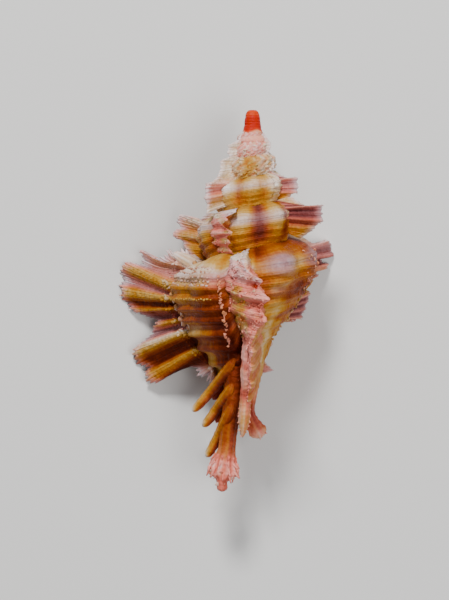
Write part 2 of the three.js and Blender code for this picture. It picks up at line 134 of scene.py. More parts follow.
UPPER_EDGE = (
    (273, 173, 0, .3, .85, .3), (284, 177, .16, .4, .7, .6), (288, 178.5, .24, .22, .5, .7),
    (298, 177, .36, .54, .72, .6), (297, 183, .5, .22, .5, .8), (299, 187, .6, .4, .62, .6),
    (297, 190, .68, .24, .5, .6), (298, 193, .76, .42, .62, .4), (292, 194, .86, .24, .5, .1),
    (288, 200, 1, .3, .56, 0),
)
HIGH_BASE = ((230, 176), (226, 185), (223, 195), (223, 207))
HIGH_EDGE = (
    (219, 175, 0, .3, .9, .1), (213, 182, .15, .35, .85, .3), (206, 184, .3, .5, .8, .5),
    (205, 190, .42, .35, .7, .6), (206, 194, .5, .3, .6, .6), (204, 199, .65, .5, .75, .5),
    (207, 204, .8, .3, .75, .3), (206, 214, 1, .35, .95, .05),
)
# Low wings of the spire: number of the varix, base and edge.
BUMPS = (
    (
        10, ((237, 157), (233, 165), (232, 180)),
        (
            (230, 157, 0, .3, .95, .1), (222, 160, .2, .35, .95, .15), (220, 162, .35, .3, .9, .2),
            (220, 170, .6, .35, .95, .15), (217, 177, .85, .3, .9, .1), (220, 183, 1, .3, .9, .1),
        ),
    ),
    (
        13, ((242, 142), (240, 149), (238, 158)),
        (
            (238, 140, 0, .25, .95, .3), (233, 143, .15, .25, .95, .2), (226.5, 146, .3, .3, 1, .1),
            (229, 149, .45, .2, .9, .2), (226.5, 152, .6, .3, 1, .1), (229, 157, .85, .25, .95, .2),
            (232, 161, 1, .25, .9, .2),
        ),
    ),
    (
        16, ((245, 132), (243, 138), (242, 144)),
        ((243, 132, 0, .2, .9, .4), (238, 138, .5, .25, .95, .3), (239, 142, 1, .2, .9, .3)),
    ),
    (
        11, ((262, 153), (265, 163), (266, 174)),
        (
            (267, 152, 0, .25, .9, .3), (272, 158, .25, .3, .95, .1), (275, 164, .55, .3, .95, .1),
            (273.5, 169, .8, .25, .9, .2), (273, 175, 1, .25, .9, .2),
        ),
    ),
    (
        14, ((260, 136), (262, 144), (262, 152)),
        (
            (264, 133, 0, .2, .9, .4), (267, 138, .2, .25, .9, .4), (271, 143, .45, .25, .95, .3),
            (271, 148, .7, .25, .95, .2), (268, 154, 1, .25, .9, .3),
        ),
    ),
)

# The varix that faces up: mm from the axis and below the apex; the last figure is the sway of
# its crest to the right, in degrees.
FRONT_BASE = ((4.4, 14.4), (5.7, 15.6), (6, 17.6), (5.4, 20), (4.2, 22), (2.6, 24.4), (1.4, 27))
FRONT_EDGE = (
    (4.6, 14.1, 0, .12, .9, .05, 2), (6, 14.7, .05, .26, .92, .1, 0), (7.4, 15.4, .1, .34, .9, .25, -1),
    (8.4, 16.1, .16, .32, .82, .5, .3), (9, 16.7, .21, .28, .74, .7, 3.2),
    (9.7, 17.3, .26, .42, .72, .65, 9.2), (9, 17.9, .3, .26, .64, .75, 6.5),
    (9.6, 18.5, .345, .34, .71, .75, 8.2), (10.1, 19.2, .39, .46, .7, .5, 11.4),
    (9, 19.9, .43, .24, .5, .8, 5.6), (9, 20.5, .47, .32, .66, .75, 7.2),
    (9.3, 21.3, .53, .42, .7, .6, 8.7), (8.1, 22.1, .59, .28, .68, .75, 2.8),
    (7.8, 22.9, .645, .44, .74, .7, 0), (7, 23.7, .7, .26, .7, .8, -3.5),
    (6.9, 24.5, .745, .42, .76, .7, -2), (6, 25.3, .79, .26, .68, .8, -5),
    (5.8, 26.1, .83, .42, .76, .65, -4), (4.9, 27, .875, .26, .66, .8, -8),
    (4.7, 27.8, .91, .4, .74, .6, -5), (3.8, 28.6, .95, .26, .6, .8, -11),
    (3.2, 29.4, 1, .36, .76, .55, -13),
)
# Share along the varix and how many degrees its ramp reaches.
FRONT_LEADS = (
    (0, 2), (.05, 9), (.1, 14), (.2, 18), (.3, 23), (.4, 25), (.5, 24), (.6, 21), (.7, 17), (.8, 13),
    (1, 8),
)
# Dents and swellings of its front face: across and down in the picture, half width, half height,
# depth in mm, tone, rose, red-orange.
FRONT_PATCHES = (
    (236, 256, 6, 5, -.1, .96, .3, 0), (238, 266, 7, 4, 0, .81, .7, 0),
    (234, 272, 3.5, 2.5, .3, .65, .9, 0), (229, 281, 3, 4, .2, .71, .7, 0),
    (236, 289, 5, 3.5, .1, .66, .05, .44), (230, 288, 2.5, 3, .1, .69, .6, 0),
    (243, 274, 5, 3.5, -.25, .81, .8, 0), (242, 282, 4.5, 2.5, 0, .73, .9, 0),
    (252, 286, 5, 3, .5, .5, .6, .6), (246, 290, 3.5, 2.5, .4, .6, .8, .1),
    (248, 298, 5.5, 3, -.25, .71, .7, 0), (250, 277, 3, 3, .1, .73, .7, 0),
    (240, 303, 5.5, 4, .05, .68, 0, .5), (233, 304, 3, 3, .1, .64, .3, 0),
    (228, 296, 2.5, 5, .1, .7, .5, 0), (258, 305, 3, 3, .5, .56, .8, .2),
    (266, 309, 4, 2.5, .6, .42, .6, .3), (235, 297, 4, 2, -.1, .67, .05, .46),
    (246, 305, 2.5, 3, .1, .63, .5, 0), (241, 310, 4.5, 2, 0, .66, .05, .48),
    (242, 318, 5, 4.5, -.1, .66, 0, .5), (252, 313, 3.5, 4.5, -.3, .77, .7, 0),
    (242, 326, 4.5, 4, 0, .68, .05, .46), (256, 317, 3.5, 3, .35, .68, .7, 0),
    (235, 318, 2.5, 6, 0, .56, .2, .1), (241, 336, 3.5, 5, 0, .7, .3, 0), (246, 330, 3, 4, 0, .73, .6, 0),
    (250, 322, 3, 3, .2, .65, .9, 0), (258, 292, 4, 2.5, -.2, .67, .7, 0),
    (248, 308, 2.5, 1.5, .3, .62, .85, 0), (252, 330, 3, 4, 0, .75, .7, 0),
)
# The line of beads along the foot of the front varix.
FRONT_BEADS = (
    (222, 277), (221.5, 284), (221.5, 290), (222, 297), (223, 306), (225, 315), (226.5, 322), (228, 330),
    (228.5, 337), (229.5, 343),
)
# The edge of the older varix up and left of it, in the same columns, at the lip's size.
BACK_EDGE = (
    (5.4, 15.6, 0, .22, .92, .1, 0), (7.6, 15.9, .08, .4, .92, .15, 4), (9.2, 16.3, .16, .3, .86, .5, 8),
    (8.9, 17, .25, .24, .64, .85, -5), (10, 17.4, .33, .42, .76, .6, 2), (9.3, 18.2, .42, .26, .58, .9, -8),
    (9.2, 18.8, .49, .3, .72, .7, -2), (10.1, 19.4, .57, .46, .8, .45, 7), (9, 20.2, .66, .24, .6, .8, -4),
    (9.2, 20.9, .73, .4, .76, .5, 3), (7.9, 21.6, .81, .24, .66, .6, -6), (8.4, 22.3, .88, .34, .72, .4, 2),
    (6.4, 23.6, 1, .3, .78, .2, 0),
)
BACK_PATCHES = (
    (217, 228.5, 6, 1.4, .35, .56, .9, .15), (220, 236, 5, 1.5, .25, .58, .85, .1),
    (212, 240, 3, 2.5, .2, .78, .2, 0), (216, 246, 5, 1.5, .3, .56, .7, .1),
    (223, 222, 4, 3.5, 0, .78, .3, 0), (225, 232, 3, 3, .1, .66, .6, 0), (224, 241, 4, 3, .1, .72, .35, 0),
    (212, 222, 3, 2, .25, .66, .8, 0), (214, 233, 3, 1.5, -.2, .8, .75, 0),
    (218, 216, 4, 3.5, -.2, .92, .1, 0), (222, 250, 5, 3, .1, .72, .45, 0), (218, 255, 4, 3, .1, .6, .6, 0),
)
# The common wing of hidden and smaller varices, in mm from the axis and below the apex, at the lip's size.
WING_BASE = ((5.2, 16.2), (6.3, 17.4), (6.7, 19.2), (6.4, 21.2), (5.5, 23))
WING_EDGE = (
    (6.2, 15.6, 0, .4, .95, .1), (9.2, 15.9, .14, .35, .8, .5), (11.6, 16.2, .26, .6, .8, .6),
    (10.6, 17.3, .36, .3, .5, .8), (11.8, 18.4, .48, .6, .8, .6), (10.4, 19.4, .58, .3, .5, .7),
    (11, 20.6, .7, .6, .75, .6), (9.2, 21.5, .8, .3, .5, .6), (8.6, 22.7, .9, .5, .7, .5),
    (6.4, 23.6, 1, .3, .6, .2),
)

# Tubes: across and down in the picture, then height over the axis, half width and half depth in mm,
# tone and rose.
CANAL = (
    (243, 328, .2, 1.8, 2.4, .14, .15), (239, 345, .7, 1.6, 2.1, .18, .15),
    (236, 366, .7, 1.2, 1.6, .26, .15), (234, 396, .5, .95, 1.2, .33, .15),
    (229, 428, .3, .85, .9, .36, .15), (227, 448, .2, .82, .85, .5, .35),
    (224.5, 462, .1, 1.1, .85, .76, .65), (223, 473, 0, 1.35, .8, .78, .6),
    (222.5, 478.5, 0, .75, .7, .66, .7), (222, 482, 0, .5, .5, .58, .7),
    (222.5, 491.5, -.2, .52, .5, .64, .7),
)
FRONT_SPUR = (
    (251, 312, 4.6, .6, 1.2, .82, .8), (250, 338, 4.2, .65, 1.2, .8, .8),
    (249, 356, 3.7, .76, 1.2, .84, .75), (248, 363, 3.5, .6, 1.2, .68, .8),
    (248, 371, 3.3, .74, 1.2, .82, .6), (248, 384, 2.8, .66, 1.1, .72, .6),
    (246.5, 392, 2.5, .6, .9, .5, .85), (245, 402, 2.3, .52, .8, .7, .45),
    (244, 419, 2.2, .56, .7, .76, .3), (242.5, 437, 1.9, .14, .3, .82, .3),
)
BACK_SPUR = (
    (254, 340, -1.2, 1.2, 1.4, .72, .1), (253, 366, -.4, 1, 1.4, .74, .2),
    (250, 390, -.6, .75, 1.1, .66, .35), (249, 412, -1.1, .55, .7, .42, .6),
    (254, 425, -1.3, .7, .55, .5, .6), (258.5, 433, -1.3, .85, .45, .72, .45),
    (261, 438.5, -1.3, .3, .3, .86, .4),
)
# The line of each finger, across and down in the picture.
FINGERS = (
    ((235, 356), (229, 369), (212, 390), (200, 404), (192.5, 411.5)),
    ((234, 381), (229, 392), (217, 409), (208.5, 420.5), (202.5, 426.5)),
    ((233, 402), (228, 416), (218, 437), (211, 450), (206, 457)),
)
# Heights over the axis of the first two places of each finger, and half widths and tones of all five.
FINGER_HEIGHTS = ((2.25, 1.75), (1.7, 1.35), (1.45, 1.15))
FINGER_RADII = (.25, .55, .48, .42, .3)
FINGER_TONES = (.26, .46, .6, .68, 1)
# Dark webs between the fingers' roots.
WEBS = (
    (
        (234, 366, 0, 1, .35, .14, .3), (225, 382, -.4, .85, .3, .18, .4), (217, 394, -1, .5, .2, .24, .6),
        (213, 400, -1.4, .2, .12, .4, .7),
    ),
    (
        (234, 392, 0, .8, .3, .16, .3), (227, 404, -.4, .75, .25, .2, .4), (220, 416, -.9, .4, .2, .28, .5),
        (216, 423, -1.3, .2, .12, .4, .6),
    ),
    ((231, 414, 0, .6, .3, .2, .3), (226, 426, -.3, .55, .25, .26, .3), (220, 437, -.7, .25, .15, .34, .4)),
)
# The smooth pale web at the top of the last varix.
SAIL = (
    (200, 271, -1.2, .5, .35, .82, .2), (194, 266, -1.2, .65, .4, .86, .2),
    (187, 261, -1.35, .65, .4, .88, .25), (180, 257, -1.9, .5, .3, .9, .3),
    (173, 253, -2.6, .25, .15, .92, .3),
)
# Root and tip of each tooth of the canal: across, down, half width in mm.
TEETH = (
    ((226, 466, .5), (209, 471, .16)), ((224, 482, .4), (215, 485, .16)),
    ((226, 474, .45), (235, 479, .16)), ((230, 436, .5), (219, 447, .16)),
)
# Outlines of round pieces about the axis: radius and place down, in pixels of the picture.
PROTOCONCH = (
    (0, 109.9), (3.4, 110.2), (5.6, 111.8), (7, 115), (7.9, 120), (8.4, 125), (9.4, 130), (11.2, 135),
    (14, 142), (0, 155),
)
CORE = ((0, 125), (4, 135), (30, 300), (14, 330), (0, 345))


class Mark(Enum):
    """Names of the values that every point of the shell's skin carries."""

    TONE = "tone"  # dark brown 0 to white 1
    ROSE = "rose"  # pinkness
    VIOLET = "violet"  # lilac or purple cast
    EMBER = "ember"  # red-orange
    STREAK = "streak"  # mm across the cords and ribs
    GROW = "grow"  # mm along the growth


class ScaleKind(Enum):
    """The two small scale shapes."""

    HOOD = 0
    SPINE = 1


def smooth_line(points: np.ndarray, count: int) -> np.ndarray:
    """Passes a rounded line through given points.

    Args:
        points: One row for each point, any number of columns.
        count: Number of rows wanted.

    Returns:
        Evenly counted rows along the rounded line.
    """
    p = np.asarray(points, float)
    p = np.vstack([2 * p[0] - p[1], p, 2 * p[-1] - p[-2]])
    at = np.linspace(0, len(p) - 3 - 1e-9, count)
    i = at.astype(int)
    f = (at - i)[:, None]
    a, b, c, d = p[i], p[i + 1], p[i + 2], p[i + 3]
    return 0.5 * (2 * b + (c - a) * f + (2 * a - 5 * b + 4 * c - d) * f**2 + (3 * b - a - 3 * c + d) * f**3)


def fade(values: np.ndarray, start: float, end: float) -> np.ndarray:
    """Runs straight from 0 at the start to 1 at the end, which may be the smaller of the two."""
    return np.clip((values - start) / (end - start), 0, 1)


def bell(values: np.ndarray, middle: float, width: float | np.ndarray) -> np.ndarray:
    """Rises softly to 1 at the middle and is 0.37 one width away from it."""
    return np.exp(-(((values - middle) / width) ** 2))


def unit(values: np.ndarray) -> np.ndarray:
    """Scales vectors along the last axis to length 1."""
    return values / np.linalg.norm(values, axis=-1, keepdims=True)


def ripple(values: np.ndarray, seed: int) -> np.ndarray:
    """Gives a smooth uneven wave.

    Args:
        values: Places along the wave.
        seed: The same seed gives the same wave.

    Returns:
        Heights between about -1 and 1.
    """
    draw = np.random.default_rng(seed)
    total = np.zeros_like(np.asarray(values, float))
    for k in range(5):
        total += np.sin(values * (1.0 + 0.73 * k + draw.random()) + draw.random() * 6.3) / (1 + 0.5 * k)
    return total / 2.4


def put(name: str, data: bpy.types.ID) -> bpy.types.Object:
    """Makes an object of some data and links it to the scene."""
    made = bpy.data.objects.new(name, data)
    bpy.context.scene.collection.objects.link(made)
    return made


def read_floats(items: bpy.types.bpy_prop_collection, key: str, width: int = 1) -> np.ndarray:
    """Reads numbers from a mesh.

    Args:
        items: Its vertices, or the data of an attribute.
        key: What is read from each item.
        width: How many numbers each item has.

    Returns:
        All numbers in one row.
    """
    values = np.empty(len(items) * width, np.float32)
    items.foreach_get(key, values)
    return values


@dataclass(frozen=True)
class CoilRule:
    """The rule of growth that the whole shell follows, in mm and picture units."""

    axis_px: float = 251.5
    apex_px: float = 108.0
    origin_px: tuple[float, float] = (225.235, 300.9)
    mm_per_px: float = 0.1
    axis_height: float = 6.6
    whorl_ratio: float = 1.43
    lip_turn: float = 477.0
    first_turn: float = 477.0 - 1980.0

    def growth(self, turn: np.ndarray) -> np.ndarray:
        """Size at a turn angle, 1 at the lip."""
        return self.whorl_ratio ** ((np.asarray(turn, float) - self.lip_turn) / FULL_TURN)

    def place(self, turn: np.ndarray, out: np.ndarray, below: np.ndarray) -> np.ndarray:
        """Puts points round the axis.

        Args:
            turn: Turn angles in degrees.
            out: Distances from the axis in mm.
            below: Distances below the apex in mm.

        Returns:
            Points in mm, one row each, in the shape of the inputs.
        """
        angle = np.radians(turn)
        x = (self.axis_px - self.origin_px[0]) * self.mm_per_px - out * np.sin(angle)
        y = (self.origin_px[1] - self.apex_px) * self.mm_per_px - below
        z = self.axis_height + out * np.cos(angle)
        return np.stack(np.broadcast_arrays(x, y, z), axis=-1)

    def from_photo(
        self, turn: np.ndarray, across: np.ndarray, down: np.ndarray
    ) -> tuple[np.ndarray, np.ndarray]:
        """Turns places in the picture into distances.

        Args:
            turn: Turn angles in degrees at which the places stand.
            across: Places across the picture.
            down: Places down the picture.

        Returns:
            Distances from the axis and below the apex, in mm.
        """
        out = np.abs((self.axis_px - across) * self.mm_per_px / np.sin(np.radians(turn)))
        return out, (down - self.apex_px) * self.mm_per_px

    def spot(self, across: float, down: float, height: float) -> np.ndarray:
        """Finds the point in mm for a place in the picture.

        Args:
            across: Place across the picture.
            down: Place down the picture.
            height: Height over the axis in mm.

        Returns:
            The point.
        """
        return np.array([
            (across - self.origin_px[0]) * self.mm_per_px,
            (self.origin_px[1] - down) * self.mm_per_px,
            self.axis_height + height,
        ])


RULE = CoilRule()


@dataclass
class Skin:
    """One closed skin: points in mm, three-cornered faces and the marks of its points."""

    points: np.ndarray
    faces: np.ndarray
    marks: dict[str, np.ndarray] = field(default_factory=dict)

    @staticmethod
    def from_rings(rings: np.ndarray, marks: dict[Mark, np.ndarray | float]) -> "Skin":
        """Closes a stack of rings into a skin with both ends filled.

        Args:
            rings: Array of ring, point and coordinate.
            marks: One value, or values of ring and point, for each mark; 0 where a mark is left out.

        Returns:
            The skin, with its faces outwards.
        """
        m, n, _ = rings.shape
        j = np.arange(n)
        a = (np.arange(m - 1)[:, None] * n + j).ravel()
        b = (np.arange(m - 1)[:, None] * n + (j + 1) % n).ravel()
        sides = np.concatenate([np.stack([a, b, b + n], 1), np.stack([a, b + n, a + n], 1)])
        first, last, base = m * n, m * n + 1, (m - 1) * n
        ends = np.concatenate([
            np.stack([np.full(n, first), (j + 1) % n, j], 1),
            np.stack([np.full(n, last), base + j, base + (j + 1) % n], 1),
        ])
        points = np.vstack([rings.reshape(-1, 3), rings[0].mean(0), rings[-1].mean(0)])
        faces = np.concatenate([sides, ends])
        corner = points[faces]
        volume = np.einsum("ij,ij->i", corner[:, 0], np.cross(corner[:, 1], corner[:, 2])).sum()
        if volume < 0:
            faces = faces[:, ::-1]
        full = {}
        for mark in Mark:
            grid = np.broadcast_to(np.asarray(marks.get(mark, 0.0), float), (m, n))
            full[mark.value] = np.concatenate([grid.ravel(), [grid[0].mean(), grid[-1].mean()]])
        return Skin(points, faces, full)

    def as_object(self, name: str) -> bpy.types.Object:
        """Makes the skin an object in metres at the origin, with its marks on its points.

        Args:
            name: Its name.

        Returns:
            The object, linked to the scene.
        """
        mesh = bpy.data.meshes.new(name)
        mesh.vertices.add(len(self.points))
        mesh.vertices.foreach_set("co", (self.points * MM).astype(np.float32).ravel())
        mesh.loops.add(self.faces.size)
        mesh.loops.foreach_set("vertex_index", self.faces.astype(np.int32).ravel())
        mesh.polygons.add(len(self.faces))
        mesh.polygons.foreach_set("loop_start", np.arange(0, self.faces.size, 3, dtype=np.int32))
        mesh.update(calc_edges=True)
        for key, values in {**self.marks, "known": np.ones(len(self.points))}.items():
            mesh.attributes.new(key, "FLOAT", "POINT").data.foreach_set("value", values.astype(np.float32))
        return put(name, mesh)


def keep_inside(made: bpy.types.Object) -> None:
    """Holds a finished mesh inside the box that the part had at the start.

    Args:
        made: The finished piece.
    """
    places = read_floats(made.data.vertices, "co", 3).reshape(-1, 3)
    places = np.clip(places, np.array(START_LOW), np.array(START_HIGH))
    made.data.vertices.foreach_set("co", places.astype(np.float32).ravel())
    made.data.update()


def plain_mesh(made: bpy.types.Object) -> bpy.types.Object:
    """Turns an object with modifiers into one with a plain mesh and none.

    Args:
        made: The object, whose old mesh is removed.

    Returns:
        The same object.
    """
    graph = bpy.context.evaluated_depsgraph_get()
    mesh = bpy.data.meshes.new_from_object(made.evaluated_get(graph))
    made.modifiers.clear()
    old, made.data = made.data, mesh
    bpy.data.meshes.remove(old)
    return made


class Field:
    """A number or vector socket of a node tree that can be used in Python expressions."""

    def __init__(self, kit: "Nodes", socket: bpy.types.NodeSocket) -> None:
        """Wraps one output socket."""
        self.kit = kit
        self.socket = socket

    def _math(self, kind: str, *values: "Field | float") -> "Field":
        """Adds one Math node for an operation on these values."""
        return self.kit.node("ShaderNodeMath", {"operation": kind}, dict(enumerate(values)))

    def __add__(self, other: "Field | float") -> "Field":
        """Sum."""
        return self._math("ADD", self, other)

    __radd__ = __add__

    def __sub__(self, other: "Field | float") -> "Field":
        """Difference."""
        return self._math("SUBTRACT", self, other)

    def __rsub__(self, other: float) -> "Field":
        """Difference the other way round."""
        return self._math("SUBTRACT", other, self)

    def __mul__(self, other: "Field | float") -> "Field":
        """Product."""
        return self._math("MULTIPLY", self, other)

    __rmul__ = __mul__

    def __truediv__(self, other: "Field | float") -> "Field":
        """Quotient."""
        return self._math("DIVIDE", self, other)

    def __pow__(self, other: "Field | float") -> "Field":
        """Power."""
        return self._math("POWER", self, other)

    def __rpow__(self, other: float) -> "Field":
        """A number to the power of this."""
        return self._math("POWER", other, self)

    def sine(self) -> "Field":
        """Sine of an angle in radians."""
        return self._math("SINE", self)

    def cosine(self) -> "Field":
        """Cosine of an angle in radians."""
        return self._math("COSINE", self)

    def ramp(self, low: float, high: float) -> "Field":
        """Smooth step from 0 at low to 1 at high."""
        limits = {0: self, 1: low, 2: high, 3: 0.0, 4: 1.0}
        return self.kit.node("ShaderNodeMapRange", {"interpolation_type": "SMOOTHSTEP"}, limits)


@dataclass
class Nodes:
    """Adds nodes to one tree."""

    tree: bpy.types.NodeTree

    def node(
        self, kind: str, settings: dict | None = None, values: dict | None = None, out: int | str = 0
    ) -> Field:
        """Adds one node.

        Args:
            kind: The node's type.
            settings: Its properties, set first.
            values: Values or links of its input sockets, by place or name.
            out: Which output is wanted.

        Returns:
            The wanted output.
        """
        made = self.tree.nodes.new(kind)
        for key, value in (settings or {}).items():
            setattr(made, key, value)
        for key, value in (values or {}).items():
            self.feed(made.inputs[key], value)
        return Field(self, made.outputs[out])

    def feed(self, socket: bpy.types.NodeSocket, value: object) -> None:
        """Links a field to a socket or sets the socket's own value.

        Args:
            socket: An input socket.
            value: The field, or a plain value.
        """
        if isinstance(value, Field):
            self.tree.links.new(value.socket, socket)
        else:
            socket.default_value = value

    def colour_ramp(self, level: Field, stops: tuple[Stop, ...]) -> Field:
        """Makes a colour that runs through stops as a level goes from 0 to 1.

        Args:
            level: The level.
            stops: Places and colours, at least three.

        Returns:
            The colour.
        """
        made = self.tree.nodes.new("ShaderNodeValToRGB")
        ramp = made.color_ramp
        for place, colour in stops[1:-1]:
            ramp.elements.new(place).color = (*colour, 1)
        for element, (place, colour) in zip(ramp.elements, stops):
            element.position = place
            element.color = (*colour, 1)
        self.feed(made.inputs[0], level)
        return Field(self, made.outputs[0])

    def blend(self, share: Field | float, one: object, two: object) -> Field:
        """Mixes two colours by a share."""
        settings = {"data_type": "RGBA", "clamp_factor": True}
        return self.node("ShaderNodeMix", settings, {0: share, 6: one, 7: two}, 2)

    def join(self, x: Field | float, y: Field | float, z: Field | float = 0.0) -> Field:
        """Makes a vector from three numbers."""
        return self.node("ShaderNodeCombineXYZ", {}, {0: x, 1: y, 2: z})

    def noise(self, at: Field, scale: float, detail: float) -> Field:
        """Soft noise from 0 to 1 at a place."""
        return self.node("ShaderNodeTexNoise", {}, {"Vector": at, "Scale": scale, "Detail": detail})


def open_tree(
    tree: bpy.types.NodeTree, sizes: dict[str, float]
) -> tuple[Nodes, dict[str, Field], Callable[[Field], None]]:
    """Gives a Geometry Nodes tree its inputs and its output.

    Args:
        tree: The empty tree.
        sizes: Named sizes and their values.

    Returns:
        The node kit, the fields of the inputs by name, and a call that ends the tree with its result.
    """
    face = tree.interface
    face.new_socket("Geometry", in_out="INPUT", socket_type="NodeSocketGeometry")
    for name, value in sizes.items():
        face.new_socket(name, in_out="INPUT", socket_type="NodeSocketFloat").default_value = value
    face.new_socket("Material", in_out="INPUT", socket_type="NodeSocketMaterial")
    face.new_socket("Geometry", in_out="OUTPUT", socket_type="NodeSocketGeometry")
    kit = Nodes(tree)
    given, leave = tree.nodes.new("NodeGroupInput"), tree.nodes.new("NodeGroupOutput")
    ask = {name: Field(kit, given.outputs[name]) for name in ("Geometry", *sizes, "Material")}
    return kit, ask, lambda result: kit.feed(leave.inputs[0], result)


def run_tree(
    made: bpy.types.Object, tree: bpy.types.NodeTree, values: dict[str, object]
) -> bpy.types.Object:
    """Runs a Geometry Nodes tree on an object and keeps the result as a plain mesh.

    Args:
        made: The object.
        tree: The tree.
        values: Values of its named inputs.

    Returns:
        The same object.
    """
    step = made.modifiers.new(tree.name, "NODES")
    step.node_group = tree
    ids = {item.name: item.identifier for item in tree.interface.items_tree if item.in_out == "INPUT"}
    for name, value in values.items():
        step[ids[name]] = value
    return plain_mesh(made)


@dataclass(frozen=True)
class ShellFinish:
    """Satin lime of the shell, coloured by the marks on its skin."""

    name: str = "shell_lime"
    roughness: float = 0.42
    specular: float = 0.09
    mottle_scale: float = 700.0
    grain_scale: float = 3600.0
    streak_rate: tuple[float, float] = (5.5, 0.35)  # noise cells per mm across and along the growth
    growth_rate: tuple[float, float] = (0.5, 4.5)
    thread_rate: float = 22.0  # radians per mm across the cords
    # How much mottle, grain, streaks, growth lines and threads change the tone and the height.
    tone_noise: tuple[float, ...] = (0.26, 0.16, 0.18, 0.12, 0.012)
    height_noise: tuple[float, ...] = (0.6, 0.7, 0.4, 0.6, 0.1)
    bump_strength: float = 0.75
    bump_distance: float = 0.00016
    warm: tuple[Stop, ...] = (
        (0.0, (0.035, 0.002, 0.0)), (0.15, (0.085, 0.008, 0.0)), (0.3, (0.2, 0.026, 0.0)),
        (0.45, (0.33, 0.084, 0.0)), (0.58, (0.44, 0.178, 0.006)), (0.7, (0.5, 0.283, 0.06)),
        (0.84, (0.64, 0.46, 0.28)), (1.0, (0.84, 0.76, 0.67)),
    )
    rosy: tuple[Stop, ...] = (
        (0.0, (0.06, 0.002, 0.002)), (0.25, (0.2, 0.016, 0.01)), (0.45, (0.42, 0.07, 0.038)),
        (0.65, (0.7, 0.165, 0.115)), (0.82, (0.87, 0.33, 0.26)), (1.0, (0.9, 0.64, 0.59)),
    )
    lilac: tuple[Stop, ...] = (
        (0.0, (0.05, 0.008, 0.01)), (0.3, (0.15, 0.045, 0.045)), (0.6, (0.36, 0.19, 0.2)),
        (0.85, (0.62, 0.5, 0.52)), (1.0, (0.84, 0.78, 0.8)),
    )
    glow: tuple[Stop, ...] = (
        (0.0, (0.2, 0.003, 0.0)), (0.5, (0.48, 0.012, 0.0)), (1.0, (0.78, 0.1, 0.006)),
    )

    def material(self) -> bpy.types.Material:
        """Builds the finish.

        Returns:
            The material, reading the marks and Object coordinates.
        """
        made = bpy.data.materials.new(self.name)
        made.use_nodes = True
        kit = Nodes(made.node_tree)
        shader = made.node_tree.nodes["Principled BSDF"]
        mark = {m: kit.node("ShaderNodeAttribute", {"attribute_name": m.value}, out="Fac") for m in Mark}
        here = kit.node("ShaderNodeTexCoord", out="Object")
        mottle = kit.noise(here, self.mottle_scale, 3.0) - 0.5
        grain = kit.noise(here, self.grain_scale, 2.0) - 0.5
        streaks, growth = (
            kit.noise(kit.join(mark[Mark.STREAK] * across, mark[Mark.GROW] * along), 1.0, 3.0) - 0.5
            for across, along in (self.streak_rate, self.growth_rate)
        )
        threads = (mark[Mark.STREAK] * self.thread_rate).sine()
        layers = (mottle, grain, streaks, growth, threads)
        tone = sum((layer * much for layer, much in zip(layers, self.tone_noise)), mark[Mark.TONE])
        rose = mark[Mark.ROSE] + mottle * 0.5 - streaks * 0.5
        violet = mark[Mark.VIOLET] + streaks * 0.5
        ember = mark[Mark.EMBER] + mottle * 0.3
        colour = kit.colour_ramp(tone, self.warm)
        for share, stops in (
            (rose.ramp(0.1, 0.75), self.rosy), (violet.ramp(0.15, 0.95), self.lilac),
            (ember.ramp(0.25, 0.75), self.glow),
        ):
            colour = kit.blend(share, colour, kit.colour_ramp(tone, stops))
        kit.feed(shader.inputs["Base Color"], colour)
        shader.inputs["Roughness"].default_value = self.roughness
        shader.inputs["Specular IOR Level"].default_value = self.specular
        height = sum(layer * much for layer, much in zip(layers, self.height_noise))
        sizes = {"Strength": self.bump_strength, "Distance": self.bump_distance}
        kit.feed(shader.inputs["Normal"], kit.node("ShaderNodeBump", {}, {"Height": height, **sizes}))
        return made


@dataclass
class Paint:
    """Tone, rose and violet of a stretch of skin."""

    tone: np.ndarray
    rose: np.ndarray
    violet: np.ndarray

    def towards(self, other: "Paint", share: np.ndarray) -> "Paint":
        """Mixes in another paint by a share."""
        pairs = ((self.tone, other.tone), (self.rose, other.rose), (self.violet, other.violet))
        return Paint(*(one * (1 - share) + two * share for one, two in pairs))


